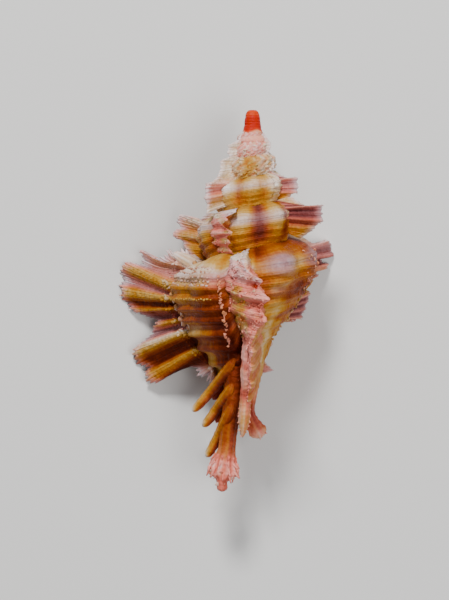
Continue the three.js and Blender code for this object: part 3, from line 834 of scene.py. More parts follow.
@dataclass
class GrowthCoil:
    """The coiled body: an unrolled sheet that the growth rule winds round the axis."""

    # Distance from the axis and below the apex, in mm at the lip's size.
    profile: tuple = (
        (4.6, 15.9), (5.7, 16.35), (6.45, 17.1), (6.8, 18.1), (6.9, 19.2), (6.8, 20.3), (6.6, 21.4),
        (6.2, 22.5), (5.5, 23.7), (4.6, 25), (3.6, 26.2), (2.75, 27.4), (2.15, 28.6), (1.8, 29.7),
    )
    cords_below: tuple = (16.3, 17.9, 19, 20.1, 21.2, 22.3, 23.7, 25.2, 26.8, 28.4)
    # Each band: cord number, tone on the spire and on the last whorl, rose, violet.
    bands: tuple = (
        (0, .72, .52, 0, 0), (.35, .8, .6, .05, .1), (.7, .86, .7, .1, .2), (1.1, .9, .8, .12, .35),
        (1.5, .84, .78, .14, .3), (1.8, .78, .74, .1, .15), (2.2, .74, .7, .05, .05),
        (2.7, .65, .68, .1, .15), (3, .6, .66, .1, .2), (3.3, .58, .6, .05, .1), (3.7, .57, .46, .1, .1),
        (4.05, .57, .44, .1, .1), (4.5, .54, .42, .05, 0), (4.9, .55, .5, 0, 0), (5.15, .56, .6, 0, 0),
        (5.28, .56, .62, 0, 0), (5.42, .56, .62, 0, 0), (5.7, .56, .72, 0, 0), (6, .56, .56, .05, 0),
        (6.3, .5, .48, 0, 0), (6.7, .55, .66, 0, 0), (7.2, .5, .66, 0, 0), (8, .56, .74, 0, 0),
        (9.3, .55, .74, .05, 0),
    )
    cord_height: float = 0.2
    node_shares: tuple = (0.38, 0.77)
    special_shares: dict = field(
        default_factory=lambda: {-425: (0.12, 0.53, 0.92), -65: (0.3, 0.79), 236: (0.36, 0.77)}
    )
    # The newest stretch, in front: cord number, tone, violet. Its cords run level in the picture.
    front_bands: tuple = (
        (0, .74, 0), (.26, .8, .1), (.53, .88, .35), (.8, .84, .6), (1.1, .76, .55), (1.45, .74, .4),
        (1.85, .6, .3), (2.2, .52, .05), (2.6, .5, 0), (2.95, .56, .1), (3.1, .56, .1), (3.4, .47, 0),
        (3.8, .37, 0), (4.15, .41, .05), (4.5, .34, 0), (4.9, .34, .2), (5.12, .36, .2), (5.22, .6, .2),
        (5.34, .42, .3), (5.6, .56, .4), (5.86, .68, .2), (6.1, .58, .1), (6.35, .27, 0), (6.65, .42, .1),
        (6.9, .3, 0), (7.4, .26, 0), (9.3, .24, 0),
    )
    level_from: float = 376.0
    level_turn: float = 424.0
    newest_from: float = 364.0
    fold_turn: float = 334.0
    ripe_size: float = 0.72
    node_height: float = 1.15
    node_width: float = 26.0
    varix_swell: float = 0.35
    spire_swell: float = 0.2
    segment: float = 110.0
    profile_length: float = 16.0
    mean_radius: float = 4.2
    # The way back inside the whorl, near the axis: distances below the apex.
    core_below: tuple[float, ...] = (30.5, 22.0, 14.5)

    def node_at(self, turn: np.ndarray) -> np.ndarray:
        """Places the ribs between two varices.

        Args:
            turn: Turn angles in degrees.

        Returns:
            How far a rib stands out, 0 to 1.
        """
        height = np.zeros_like(turn)
        for newer, older in zip(VARIX_TURNS, VARIX_TURNS[1:]):
            for share in self.special_shares.get(older, self.node_shares):
                away = np.abs(turn - older - share * (newer - older)) / self.node_width
                rib = np.cos(np.minimum(away, 1) * np.pi / 2) ** 2
                height = np.maximum(height, np.where(away < 1, rib, 0))
        return height

    def varix_at(self, turn: np.ndarray) -> np.ndarray:
        """Tells how near a varix is.

        Args:
            turn: Turn angles in degrees.

        Returns:
            1 on a varix, falling off faster on its older side.
        """
        near = np.zeros_like(turn)
        for spot in VARIX_TURNS:
            near = np.maximum(near, bell(turn, spot, np.where(turn < spot, 4.0, 9.0)))
        return near

    def level(self, turn: np.ndarray) -> np.ndarray:
        """How much a place below the apex shrinks to keep the newest cords level."""
        share = fade(np.asarray(turn, float), self.level_from, self.level_from + 12)
        return (RULE.growth(turn) / RULE.growth(self.level_turn)) ** share

    def cord_number(self, turn: np.ndarray, below: np.ndarray) -> np.ndarray:
        """Counts the cords down to a place, which may lie between two."""
        return np.interp(below * self.level(turn), self.cords_below, range(len(self.cords_below)))

    def lumps(self, turn: np.ndarray, phase: np.ndarray) -> np.ndarray:
        """The coarse knots of the young whorls, about -1 to 2."""
        rows = np.sin(np.radians(turn) * 13 + 2.4 * np.sin(phase * 2.1))
        return rows + 0.8 * ripple(turn * 0.17 + phase, 5)

    def crease(self, turn: np.ndarray) -> np.ndarray:
        """Tells how much painted shade darkens the crease that runs up the front of the young whorls.

        Args:
            turn: Turn angles in degrees.

        Returns:
            Strength of the painted shade from 0 to 1.
        """
        growth = RULE.growth(turn)
        aside = (np.asarray(turn, float) + 175) % FULL_TURN - 180
        return fade(growth, 0.24, 0.29) * fade(growth, 0.48, 0.43) * bell(aside, 0, 24)

    def form(self, turn: np.ndarray, line: np.ndarray) -> tuple[np.ndarray, np.ndarray]:
        """Lays cords, ribs and swellings over the whorl's outline.

        Args:
            turn: Turn angles in degrees, as a column.
            line: Distance out and below at the lip's size, one row for each point.

        Returns:
            Distance out and distance below in mm for each turn and point.
        """
        slope = unit(np.gradient(line, axis=0))
        below = line[None, :, 1]
        phase = self.cord_number(turn, below)
        cord = 0.5 + 0.5 * np.cos(2 * np.pi * phase)
        front = fade(turn, self.level_from, self.level_from + 12)
        growth = RULE.growth(turn)
        young = fade(growth, 0.45, 0.3)
        node = self.node_at(turn)
        relief = self.cord_height * (1 + young) * cord**1.4 * fade(below, 16.6, 17.8)
        relief = relief * (1 + 0.5 * node + front * (0.7 + fade(phase, 4.8, 5.4)))
        relief = relief + (self.node_height - 0.45 * young) * node * bell(below, 18.6, 2.3)
        relief = relief + self.varix_swell * self.varix_at(turn) * fade(below, 16.2, 17.7)
        relief = relief + 0.05 * ripple(turn * 0.45 + phase * 2.1, 3) * (1.4 - growth)
        lumps = 0.42 * np.maximum(self.lumps(turn, phase), -0.5) * (0.35 + 0.65 * cord)
        relief = relief + young * (lumps + 0.25 * ripple(turn * 0.4 - phase * 5.0, 6))
        fuller = 1 + self.spire_swell * np.maximum(0, 1 - growth / 0.55)
        out = growth * fuller * (line[None, :, 0] + slope[None, :, 1] * relief)
        return out, growth * (below - slope[None, :, 0] * relief * 0.8)

    def sheet(self, start: float, end: float) -> tuple[np.ndarray, dict[Mark, np.ndarray]]:
        """Lays out one stretch of the body before it is wound.

        Args:
            start: First turn angle in degrees.
            end: Last turn angle in degrees.

        Returns:
            Turn, distance out and distance below for each ring and point, and the marks.
        """
        size = float(RULE.growth((start + end) / 2))
        across = max(26, int(self.profile_length * size / FINE))
        along = max(16, int(math.radians(end - start) * self.mean_radius * size / FINE))
        line = smooth_line(np.array(self.profile), across)
        turn = np.linspace(start, end, along + 1)[:, None]
        growth = RULE.growth(turn)
        out, down = self.form(turn, line)
        core = growth * np.array([self.core_below])
        out = np.hstack([out, 0.1 * growth * np.ones_like(core)])
        down = np.hstack([down, core])
        marks = {
            key: np.hstack([grid, np.repeat(grid[:, -1:], core.shape[1], axis=1)])
            for key, grid in self.colour(turn, line[None, :, 1]).items()
        }
        return np.stack([np.broadcast_to(turn, out.shape), out, down], axis=-1), marks

    def nodules(self, turn: np.ndarray, phase: np.ndarray) -> np.ndarray:
        """Small swellings along each cord, about -1 to 1."""
        return ripple(turn * 0.16 + np.floor(phase + 0.4) * 2.3, 4)

    def old_paint(self, turn: np.ndarray, phase: np.ndarray) -> Paint:
        """Paints the whorls behind the newest stretch by their bands, ribs and grooves.

        Args:
            turn: Turn angles in degrees.
            phase: Cord numbers.

        Returns:
            Their paint.
        """
        table = np.array(self.bands)
        spire, last, rose, violet = (np.interp(phase, table[:, 0], table[:, k]) for k in range(1, 5))
        growth, node = RULE.growth(turn), self.node_at(turn)
        fresh = fade(turn, self.newest_from, self.newest_from + 8)
        ripe = fade(growth, self.ripe_size, self.ripe_size + 0.06)
        low = fade(phase, 4.6, 5.2)
        fold = fade(turn, self.fold_turn, self.fold_turn + 10)
        # The grooves between the ribs are darker and more lilac: partly their own colour, partly painted
        # shade in the hollows.
        groove = (1 - node) ** 1.5 * (1 - self.varix_at(turn)) * (1 - fresh) * fade(phase, 5.2, 3.7)
        groove = groove * (1 - ripe * (1 - fold)) * np.maximum(fade(growth, 0.2, 0.55), 0.5)
        crown = node * ripe * fade(phase, 2.7, 1.9) * fade(phase, 0.2, 0.7)
        lilac = node * (1 - ripe) * fade(phase, 2.4, 1.6) * fade(phase, 0.3, 0.8)
        tone = spire * (1 - ripe) + last * ripe + (0.12 - 0.08 * ripe) * self.nodules(turn, phase) * low
        tone = tone - (0.44 - 0.2 * ripe) * groove - 0.12 * crown - 0.06 * (1 - ripe)
        violet = violet + 0.55 * groove * (1 - ripe) * fade(phase, 3.6, 2.1) + 0.6 * crown + 0.3 * lilac
        # The last whorl right of the front varix lies in shade and is mottled below its ribs.
        shaded = ripe * (1 - fresh)
        tone = tone - shaded * (0.1 * fade(phase, 1.6, 2.6) + 0.14 * fade(turn, 330, 290) + 0.04)
        tone = tone - 0.07 * shaded * fade(phase, 0.9, 0.4)
        spots = ripple(turn * 0.13 + np.floor(phase * 1.5) * 1.9, 9)
        under = shaded * fade(phase, 2.8, 3.4)
        folds = bell(turn, self.fold_turn, 9) - 0.3 * bell(turn, 310, 8)
        tone = tone + under * (0.08 * spots + 0.14 * folds + 0.07)
        mottled = 0.1 + 0.25 * np.clip(spots, 0, 1) + 0.25 * np.clip(folds, 0, 1)
        violet = violet + under * mottled * np.maximum(fade(turn, 296, 312), 0.3)
        return Paint(tone, rose + 0.15 * groove * (1 - ripe), violet * (1 - 0.6 * shaded * low))

    def newest_paint(self, turn: np.ndarray, phase: np.ndarray) -> Paint:
        """Paints the newest stretch, with painted shade that darkens it towards the front varix.

        Args:
            turn: Turn angles in degrees.
            phase: Cord numbers.

        Returns:
            Its paint.
        """
        front = np.array(self.front_bands)
        # Painted shade: the lower cords darken towards the front varix and the bead ridge beside it, and
        # the upper cords darken a little near it.
        painted_shade = fade(turn, 430, 394) * (0.42 + 0.34 * fade(phase, 4.6, 5.2)) * fade(phase, 1.6, 2.8)
        painted_shade = painted_shade + 0.2 * fade(turn, 410, 390) * fade(phase, 2.8, 1.6)
        tone = np.interp(phase, front[:, 0], front[:, 1]) * (1 - painted_shade) + 0.05 * self.nodules(turn, phase)
        gutter = fade(turn, 388, 382) * fade(phase, 3.0, 3.6) * fade(phase, 7.4, 6.6)
        tone = tone * (1 - gutter) + 0.36 * gutter + 0.36 * fade(turn, 428, 440) * fade(phase, 7.0, 7.5)
        blush = 0.5 * fade(turn, 404, 394) * fade(phase, 0.6, 1.0) * fade(phase, 2.6, 2.0)
        return Paint(tone, 0.05 + blush + 0.3 * gutter, np.interp(phase, front[:, 0], front[:, 2]))

    def colour(self, turn: np.ndarray, below: np.ndarray) -> dict[Mark, np.ndarray]:
        """Colours the body by its bands, ribs, varices and age.

        Args:
            turn: Turn angles in degrees, as a column.
            below: Distances below the apex in mm at the lip's size, as a row.

        Returns:
            The marks for each ring and point.
        """
        phase = self.cord_number(turn, below)
        growth = RULE.growth(turn)
        fresh = fade(turn, self.newest_from, self.newest_from + 8)
        paint = self.old_paint(turn, phase).towards(self.newest_paint(turn, phase), fresh)
        young = fade(growth, 0.46, 0.36)
        knot = np.clip(self.lumps(turn, phase), -1, 1.4)
        knobbly = Paint(
            0.83 + 0.08 * knot + 0.05 * ripple(turn * 0.09 + phase, 7),
            0.5 * paint.rose + 0.2 - 0.08 * knot + 0.12 * ripple(turn * 0.11 - phase, 8),
            0.2 * paint.violet,
        )
        # The middle whorls are paler, and the crease up the front of the young whorls is darkened with
        # painted shade.
        paler = 0.18 * fade(growth, 0.56, 0.48) * (1 - young) - 0.19 * self.crease(turn)
        paint = paint.towards(knobbly, young)
        marks = {
            Mark.TONE: paint.tone + paler, Mark.ROSE: paint.rose + 0.4 * fade(growth, 0.27, 0.21),
            Mark.VIOLET: paint.violet, Mark.STREAK: phase * 1.1, Mark.GROW: 114.2 * growth,
        }
        shape = np.broadcast_shapes(turn.shape, phase.shape)
        return {key: np.broadcast_to(grid, shape) for key, grid in marks.items()}

    def spot(self, turn: float, phase: float) -> tuple[np.ndarray, np.ndarray, np.ndarray]:
        """Finds a place on the body's skin.

        Args:
            turn: Turn angle in degrees.
            phase: Cord number, which may lie between two cords.

        Returns:
            The place in mm, the way out of the skin and the way of growth.
        """
        line = smooth_line(np.array(self.profile), 120)
        below = float(np.interp(phase, range(len(self.cords_below)), self.cords_below) / self.level(turn))
        index = int(np.argmin(np.abs(line[:, 1] - below)))
        at = np.array([[turn], [turn + 1.0]])
        out, down = self.form(at, line)
        near = RULE.place(at, out[:, index - 1 : index + 2], down[:, index - 1 : index + 2])
        growing, across = near[1, 1] - near[0, 1], near[0, 2] - near[0, 0]
        facing = np.cross(across, growing)
        facing *= np.sign(np.dot(facing, near[0, 1] - RULE.place(turn, 0.0, down[0, index])))
        return near[0, 1], unit(facing), unit(growing)

    def spot_seen(self, across: float, down: float) -> tuple[np.ndarray, np.ndarray, np.ndarray]:
        """Finds a place on the newest whorl's skin by where it shows in the picture.

        Args:
            across: Place across the picture.
            down: Place down the picture.

        Returns:
            The same as for a turn and a cord number.
        """
        turn, phase = 390.0, 3.0
        radii, heights = zip(*self.profile)
        for _ in range(6):
            growth = float(RULE.growth(turn))
            below = (down - RULE.apex_px) * RULE.mm_per_px / growth
            phase = float(self.cord_number(turn, below))
            out = growth * float(np.interp(below, heights, radii))
            sine = (RULE.axis_px - across) * RULE.mm_per_px / out
            turn = FULL_TURN + math.degrees(math.asin(min(max(sine, -1.0), 1.0)))
        return self.spot(turn, phase)

    def tree(self) -> bpy.types.NodeTree:
        """Builds the Geometry Nodes tree that winds an unrolled sheet by the growth rule.

        Returns:
            The tree, with named inputs for the rule's sizes.
        """
        tree = bpy.data.node_groups.new("growth_coil", "GeometryNodeTree")
        sizes = {
            "Whorl Ratio": RULE.whorl_ratio, "Lip Turn": RULE.lip_turn,
            "Axis Across": (RULE.axis_px - RULE.origin_px[0]) * RULE.mm_per_px,
            "Apex Along": (RULE.origin_px[1] - RULE.apex_px) * RULE.mm_per_px,
            "Axis Height": RULE.axis_height,
        }
        kit, ask, leave = open_tree(tree, sizes)
        turn, reach, below = (
            kit.node("GeometryNodeInputNamedAttribute", {"data_type": "FLOAT"}, {"Name": name})
            for name in ("turn_deg", "out_lip", "below_lip")
        )
        size = ask["Whorl Ratio"] ** ((turn - ask["Lip Turn"]) / FULL_TURN)
        angle = turn * (math.pi / 180)
        out = reach * size
        place = kit.join(
            (ask["Axis Across"] - out * angle.sine()) * MM,
            (ask["Apex Along"] - below * size) * MM,
            (ask["Axis Height"] + out * angle.cosine()) * MM,
        )
        wound = kit.node("GeometryNodeSetPosition", {}, {"Geometry": ask["Geometry"], "Position": place})
        real = kit.node("GeometryNodeRealizeInstances", {}, {0: wound})
        leave(kit.node("GeometryNodeSetMaterial", {}, {"Geometry": real, "Material": ask["Material"]}))
        return tree

    def build(self, finish: bpy.types.Material) -> list[bpy.types.Object]:
        """Winds every stretch of the body.

        Args:
            finish: The material of the shell.

        Returns:
            Closed stretches from the first whorl to the lip.
        """
        tree = self.tree()
        made = []
        turn = RULE.first_turn
        while turn < RULE.lip_turn - 1:
            end = min(turn + self.segment, RULE.lip_turn)
            grid, marks = self.sheet(turn, end)
            rolled = Skin.from_rings(grid * np.array([0.01, 1, 1]), marks)
            # Flat, it can't tell which way its faces point, so they are taken from the wound skin.
            turns, out, down = np.moveaxis(grid, -1, 0)
            rolled.faces = Skin.from_rings(RULE.place(turns, out, down), {}).faces
            size = RULE.growth(turns)
            for name, values in (("turn_deg", turns), ("out_lip", out / size), ("below_lip", down / size)):
                ends = [values[0].mean(), values[-1].mean()]
                rolled.marks[name] = np.concatenate([values.ravel(), ends])
            stretch = rolled.as_object(f"stretch_{len(made)}")
            values = {"Whorl Ratio": RULE.whorl_ratio, "Lip Turn": RULE.lip_turn, "Material": finish}
            made.append(run_tree(stretch, tree, values))
            turn = end
        return made


@dataclass
class ScaleCoat:
    """Small hooded scales and spines that stand on ribs, varices and young whorls."""

    clear: float = 0.75  # least distance from the sides of the box, in lengths of the scale
    rows: list[np.ndarray] = field(default_factory=list)
    draw: np.random.Generator = field(default_factory=lambda: np.random.default_rng(7))

    def add(
        self, kind: ScaleKind, place: np.ndarray, facing: np.ndarray, along: np.ndarray, size: float,
        marks: dict[Mark, float],
    ) -> None:
        """Plants one scale.

        Args:
            kind: Its shape.
            place: Where it stands, in mm.
            facing: The way out of the skin.
            along: The way its lip points.
            size: Its length in mm.
            marks: Its colours.
        """
        size = size * (0.65 + 0.7 * self.draw.random())
        along = along + 0.35 * self.draw.standard_normal(3)
        values = [marks.get(mark, 0.0) for mark in Mark]
        # Columns: kind 0, size 1, place 2 to 4, facing 5 to 7, along 8 to 10, marks from 11.
        self.rows.append(np.array([kind.value, size, *place, *facing, *along, *values]))

    def scale(self, kind: ScaleKind) -> bpy.types.Object:
        """Makes one closed scale of unit length, its lip towards +X and its back towards +Z.

        Args:
            kind: Its shape.

        Returns:
            The scale as an object.
        """
        t = np.array([0.0, 0.4, 0.75, 1.0])[:, None]
        a = np.radians(np.linspace(-85, 85, 4))[None, :]
        if kind is ScaleKind.HOOD:
            wide, high, thick = 0.3 + 0.16 * t, 0.1 + 0.34 * np.sin(2.3 * t), 0.26 - 0.1 * t
            ahead = -0.5 + 0.95 * t
        else:
            wide, high, thick = 0.26 * (1 - t) + 0.05, 0.26 * (1 - t) + 0.06, 0.12 * (1 - t) + 0.05
            ahead = -0.3 + 1.2 * t
        lift = -0.12 + 0.2 * t**2
        outer = np.stack(np.broadcast_arrays(ahead + 0 * a, wide * np.sin(a), lift + high * np.cos(a)), -1)
        inner = np.stack(np.broadcast_arrays(
            ahead - 0.06 + 0 * a, (wide - thick) * np.sin(a), lift - 0.1 + (high - thick) * np.cos(a)), -1)
        rings = np.concatenate([outer, inner[:, ::-1]], axis=1)
        skin = Skin.from_rings(rings / MM, {})
        skin.marks = {}
        return skin.as_object(f"scale_{kind.name.lower()}")

    def tree(self, shapes: dict[ScaleKind, bpy.types.Object]) -> bpy.types.NodeTree:
        """Builds the Geometry Nodes tree that sets a scale on every point.

        Args:
            shapes: The scale shapes.

        Returns:
            The tree, with named inputs for the overall size and the material.
        """
        tree = bpy.data.node_groups.new("scale_coat", "GeometryNodeTree")
        kit, ask, leave = open_tree(tree, {"Scale Size": 1.0})

        def read(name: str, kind: str) -> Field:
            """A value that each point carries."""
            return kit.node("GeometryNodeInputNamedAttribute", {"data_type": kind}, {"Name": name})

        joined = tree.nodes.new("GeometryNodeJoinGeometry")
        for kind, shape in shapes.items():
            body = kit.node("GeometryNodeObjectInfo", {}, {"Object": shape}, "Geometry")
            along, facing = (read(name, "FLOAT_VECTOR") for name in ("along", "facing"))
            align = "FunctionNodeAlignRotationToVector"
            turned = kit.node(align, {"axis": "X"}, {2: along})
            turned = kit.node(align, {"axis": "Z", "pivot_axis": "X"}, {0: turned, 2: facing})
            chosen = kit.node(
                "FunctionNodeCompare", {"data_type": "FLOAT", "operation": "EQUAL"},
                {0: read("kind", "FLOAT"), 1: float(kind.value), "Epsilon": 0.1},
            )
            set_out = kit.node("GeometryNodeInstanceOnPoints", {}, {
                "Points": ask["Geometry"], "Selection": chosen, "Instance": body, "Rotation": turned,
                "Scale": read("size", "FLOAT") * ask["Scale Size"],
            })
            kit.feed(joined.inputs[0], kit.node("GeometryNodeRealizeInstances", {}, {0: set_out}))
        whole = Field(kit, joined.outputs[0])
        leave(kit.node("GeometryNodeSetMaterial", {}, {"Geometry": whole, "Material": ask["Material"]}))
        return tree

    def build(self, finish: bpy.types.Material) -> bpy.types.Object:
        """Sets out all scales as one piece.

        Args:
            finish: The material of the shell.

        Returns:
            The finished piece.
        """
        rows = np.array(self.rows)
        reach = rows[:, 1:2] * self.clear
        low, high = np.array(START_LOW) / MM, np.array(START_HIGH) / MM
        places = np.clip(rows[:, 2:5], low + reach, high - reach)
        mesh = bpy.data.meshes.new("scales")
        mesh.from_pydata((places * MM).tolist(), [], [])
        single = {"kind": rows[:, 0], "size": rows[:, 1] * MM}
        single.update({mark.value: rows[:, 11 + k] for k, mark in enumerate(Mark)})
        for key, values in single.items():
            mesh.attributes.new(key, "FLOAT", "POINT").data.foreach_set("value", values.astype(np.float32))
        for key, first in (("facing", 5), ("along", 8)):
            values = rows[:, first : first + 3].astype(np.float32).ravel()
            mesh.attributes.new(key, "FLOAT_VECTOR", "POINT").data.foreach_set("vector", values)
        coat = put("scales", mesh)
        shapes = {kind: self.scale(kind) for kind in ScaleKind}
        run_tree(coat, self.tree(shapes), {"Scale Size": 1.0, "Material": finish})
        for shape in shapes.values():
            bpy.data.objects.remove(shape)
        coat.data.shade_smooth()
        return coat


@dataclass
class Wing:
    """A ribbed, webbed wing on a varix, as rays from its junction with the body to its edge."""

    name: str
    turn: float
    base: np.ndarray
    edge: np.ndarray
    bend: float = 6.0  # degrees that its edge leans back
    twist: float = 0.0  # degrees from its first ray to its last
    root: float = 1.4  # mm that it reaches into the body
    lead: float = 0.0  # degrees that the foot of its newer face lies ahead
    lag: float = 0.0  # degrees that the foot of its older face lies behind
    drop: float = 0.0  # mm that the foot of its newer face hangs lower
    crown: float = 1.0  # least share of the lag, at its top
    pale_tip: float = 0.6
    fray: float = 0.12  # mm that its edge is notched
    sag: float = 0.0  # mm that its first rays hang through
    cast: tuple[float, float] = (0.3, 0.95)  # lilac of its ribs and of its webs, as shares of the rose
    tip_reach: float = 0.8
    tip_rose: float = 0.25
    seed: int = 1
    in_photo: bool = True
    size: float = 1.0
    fall: float = 1.5  # how fast the lead falls off towards its edge
    comb_pitch: float = 0.48  # mm between riblets, between notches and between steps of a rib
    notch_pitch: float = 0.62
    step_pitch: float = 0.55
    marks: tuple = field(init=False)  # of the older and the newer face, once the skin is made

    def __post_init__(self) -> None:
        """Works out the rays and both faces of the wing."""
        self.table = rays = self.rays()
        reach = np.hypot(rays["out"] - rays["foot_out"], rays["below"] - rays["foot_below"])[:, None]
        columns = int(np.clip(reach.max() / (FINE * 1.35), 7, 36))
        self.count = count = np.arange(len(reach))[:, None]
        waver = 1.3 * ripple(count * 0.12, self.seed + 2)
        self.comb = np.sin(count * FINE * 2 * np.pi / self.comb_pitch + waver)
        notch = 0.5 - 0.5 * np.sin(count * FINE * 2 * np.pi / self.notch_pitch + waver)
        self.reach = reach - self.fray * self.size * notch**1.5 * fade(reach, 0, 2.0)
        v = np.concatenate([[-1.0], np.linspace(0, 1, columns)])[None, :]
        share = rays["share"][:, None]
        ahead = v * self.reach / np.maximum(reach, 1e-6)
        f = np.where(v < 0, -self.root / np.maximum(reach, 0.3), ahead)
        out, below = (
            rays["foot_" + key][:, None] + (rays[key] - rays["foot_" + key])[:, None] * f
            for key in ("out", "below")
        )
        out = np.maximum(out, 0.3)
        below = below + self.sag * fade(share, 0.28, 0) * np.sin(np.pi * np.clip(f, 0, 1))
        self.up = up = np.clip(v, 0, 1)
        self.mm = mm = self.reach * up
        half = rays["half"][:, None]
        self.rib = rib = fade(half / self.size, 0.24, 0.5)
        steps = (mm / self.step_pitch + 0.5 * ripple(count * 0.09, self.seed)) % 1.0
        scaly = 1 + 0.2 * steps**2 * rib * fade(mm, 0, 0.8)
        thick = half * (0.45 + 0.95 * rib) * (1.2 - 0.45 * up) * scaly + 0.04 * self.comb * (0.3 + up)
        thick = thick + 0.03 * ripple(count * 0.5 + mm * 4.0, self.seed + 9)
        thick = np.maximum(np.where(v < 0, half * 1.6, thick), 0.08)
        thick = thick * np.sqrt(np.clip(1 - fade(self.reach - mm, 0.4, 0) ** 2, 0.06, 1))
        away = self.turn + self.twist * share - self.bend * up**1.5 - rays["sway"][:, None] * up**2
        side = np.degrees(thick / np.maximum(out, 1.0))
        self.middle = RULE.place(away, out, below)
        narrow = np.clip((share - 0.1) / 0.3, self.crown, 1)
        self.older = RULE.place(away - side - self.lag * narrow * (1 - up) ** 2, out, below)
        drop = self.drop * (1 - up) * np.clip(share * 5, 0, 1)
        self.newer = RULE.place(away + self.fullness(side) + self.slope(), out, below - drop)

    def rays(self) -> dict[str, np.ndarray]:
        """Samples the edge finely and pairs each sample with its foot on the body.

        Returns:
            Columns of foot, tip, thickness, tone and rose.
        """
        edge = np.array(self.edge, float)
        base = np.array(self.base, float)
        share = edge[:, 2]
        if self.in_photo:
            turn = self.turn + self.twist * share - self.bend
            out, below = RULE.from_photo(turn, edge[:, 0], edge[:, 1])
            at = np.linspace(0, 1, len(base))
            base = np.stack(RULE.from_photo(self.turn + self.twist * at, base[:, 0], base[:, 1]), 1)
        else:
            out, below = edge[:, 0], edge[:, 1]
        foot_of = np.linspace(0, 1, len(base))
        foot = np.stack([np.interp(share, foot_of, base[:, k]) for k in (0, 1)], 1)
        step = np.maximum(np.hypot(np.diff(out), np.diff(below)), np.hypot(*np.diff(foot, axis=0).T))
        counts = np.maximum(2, np.ceil(step / FINE).astype(int))
        at = np.concatenate([i + np.arange(c) / c for i, c in enumerate(counts)] + [[len(edge) - 1.0]])
        where = np.arange(len(edge))
        table = {"out": np.interp(at, where, out), "below": np.interp(at, where, below)}
        edge = np.hstack([edge, np.zeros((len(edge), 1))])
        for k, key in ((2, "share"), (3, "half"), (4, "tone"), (5, "rose"), (6, "sway")):
            table[key] = np.interp(at, where, edge[:, k])
        for key, passes in (("out", 1), ("below", 1), ("half", 3), ("sway", 3)):
            for _ in range(passes):
                v = table[key]
                table[key] = np.concatenate([v[:1], (v[:-2] + 2 * v[1:-1] + v[2:]) / 4, v[-1:]])
        table["foot_out"] = np.interp(table["share"], foot_of, base[:, 0])
        table["foot_below"] = np.interp(table["share"], foot_of, base[:, 1])
        return table

    def fullness(self, side: np.ndarray) -> np.ndarray:
        """How far, in degrees, the newer face stands off the middle."""
        return side * 0.8

    def slope(self) -> np.ndarray:
        """How far, in degrees, the newer face leans on the body in front of it."""
        return self.lead * (1 - self.up) ** self.fall

    def colour(self) -> tuple[dict[Mark, np.ndarray], dict[Mark, np.ndarray]]:
        """Runs each ray's colour out to a pale tip.

        Returns:
            The marks of the older and of the newer face.
        """
        tip = fade(self.reach - self.mm, self.tip_reach, 0) ** 1.3 * self.pale_tip / 0.6
        tone = self.table["tone"][:, None] * (1 - 0.6 * tip) + 0.9 * 0.6 * tip
        rose = self.table["rose"][:, None] * (1 - 0.5 * tip) + self.tip_rose * tip
        lilac = self.cast[0] * self.rib + self.cast[1] * (1 - self.rib)
        # Ribs a little lighter and webs darker: partly their own colour, partly painted light on the ribs
        # and painted shade between them.
        marks = {
            Mark.TONE: tone + 0.04 * self.rib - 0.1 * (1 - self.rib) * (1 - tip) + 0.035 * self.comb,
            Mark.ROSE: rose, Mark.VIOLET: 0.3 * tip + rose * lilac,
            Mark.STREAK: self.count * FINE + 7.0 * self.seed, Mark.GROW: self.mm + 3.0 * self.seed,
        }
        marks = {key: np.broadcast_to(grid, self.mm.shape) for key, grid in marks.items()}
        return marks, dict(marks)

    def skin(self) -> Skin:
        """Closes both faces of the wing into one skin.

        Returns:
            The closed skin.
        """
        older, newer = self.marks = self.colour()
        marks = {key: np.concatenate([older[key], newer[key][:, ::-1]], axis=1) for key in older}
        return Skin.from_rings(np.concatenate([self.older, self.newer[:, ::-1]], axis=1), marks)

    def rib_lines(self) -> np.ndarray:
        """Finds rays that run along the middle of a rib.

        Returns:
            Their numbers.
        """
        half = self.table["half"]
        inner = np.arange(1, len(half) - 1)
        top = (half[1:-1] >= half[:-2]) & (half[1:-1] > half[2:]) & (self.rib[1:-1, 0] > 0.3)
        return inner[top]

    def plant(
        self, coat: ScaleCoat, kind: ScaleKind, ray: int, column: int, size: float, newer: bool = False,
        pale: float = 0.03,
    ) -> None:
        """Plants one scale on a face of the wing, its lip towards the wing's edge.

        Args:
            coat: The coat that the scale joins.
            kind: Its shape.
            ray: Number of the ray.
            column: Number of the point along the ray.
            size: Its length in mm.
            newer: Whether it stands on the newer face.
            pale: How much paler than the wing it is.
        """
        face = self.newer if newer else self.older
        ray = int(np.clip(ray, 1, len(face) - 2))
        column = int(np.clip(column, 1, face.shape[1] - 2))
        along = face[ray, column + 1] - face[ray, column - 1]
        across = face[ray + 1, column] - face[ray - 1, column]
        facing = np.cross(across, along)
        facing *= np.sign(np.dot(facing, face[ray, column] - self.middle[ray, column]))
        own = {mark: float(grid[ray, column]) for mark, grid in self.marks[int(newer)].items()}
        own[Mark.TONE] += pale + 0.12 * (coat.draw.random() - 0.5)
        coat.add(
            kind, face[ray, column], facing / (np.linalg.norm(facing) + 1e-9),
            along / (np.linalg.norm(along) + 1e-9), size, own,
        )

    def knot_root(self, coat: ScaleCoat, size: float) -> None:
        """Sets pale knots where the ribs leave the body.

        Args:
            coat: The coat that they join.
            size: Length of the largest in mm.
        """
        for ray in range(8, len(self.mm) - 8, 4):
            for column in (1, 2, 4):
                aside = int(coat.draw.integers(-2, 3))
                own = size * (0.6 + 0.5 * self.rib[ray, 0])
                self.plant(coat, ScaleKind.HOOD, ray + aside, column, own, pale=0.1)

    def fringe(self, coat: ScaleCoat, size: float) -> None:
        """Sets spines on the edge round the tip of each rib.

        Args:
            coat: The coat that they join.
            size: Their length in mm.
        """
        last = self.mm.shape[1] - 1
        for ray in self.rib_lines():
            for shift in (-3, 0, 3):
                self.plant(coat, ScaleKind.SPINE, ray + shift, last - 1, size)


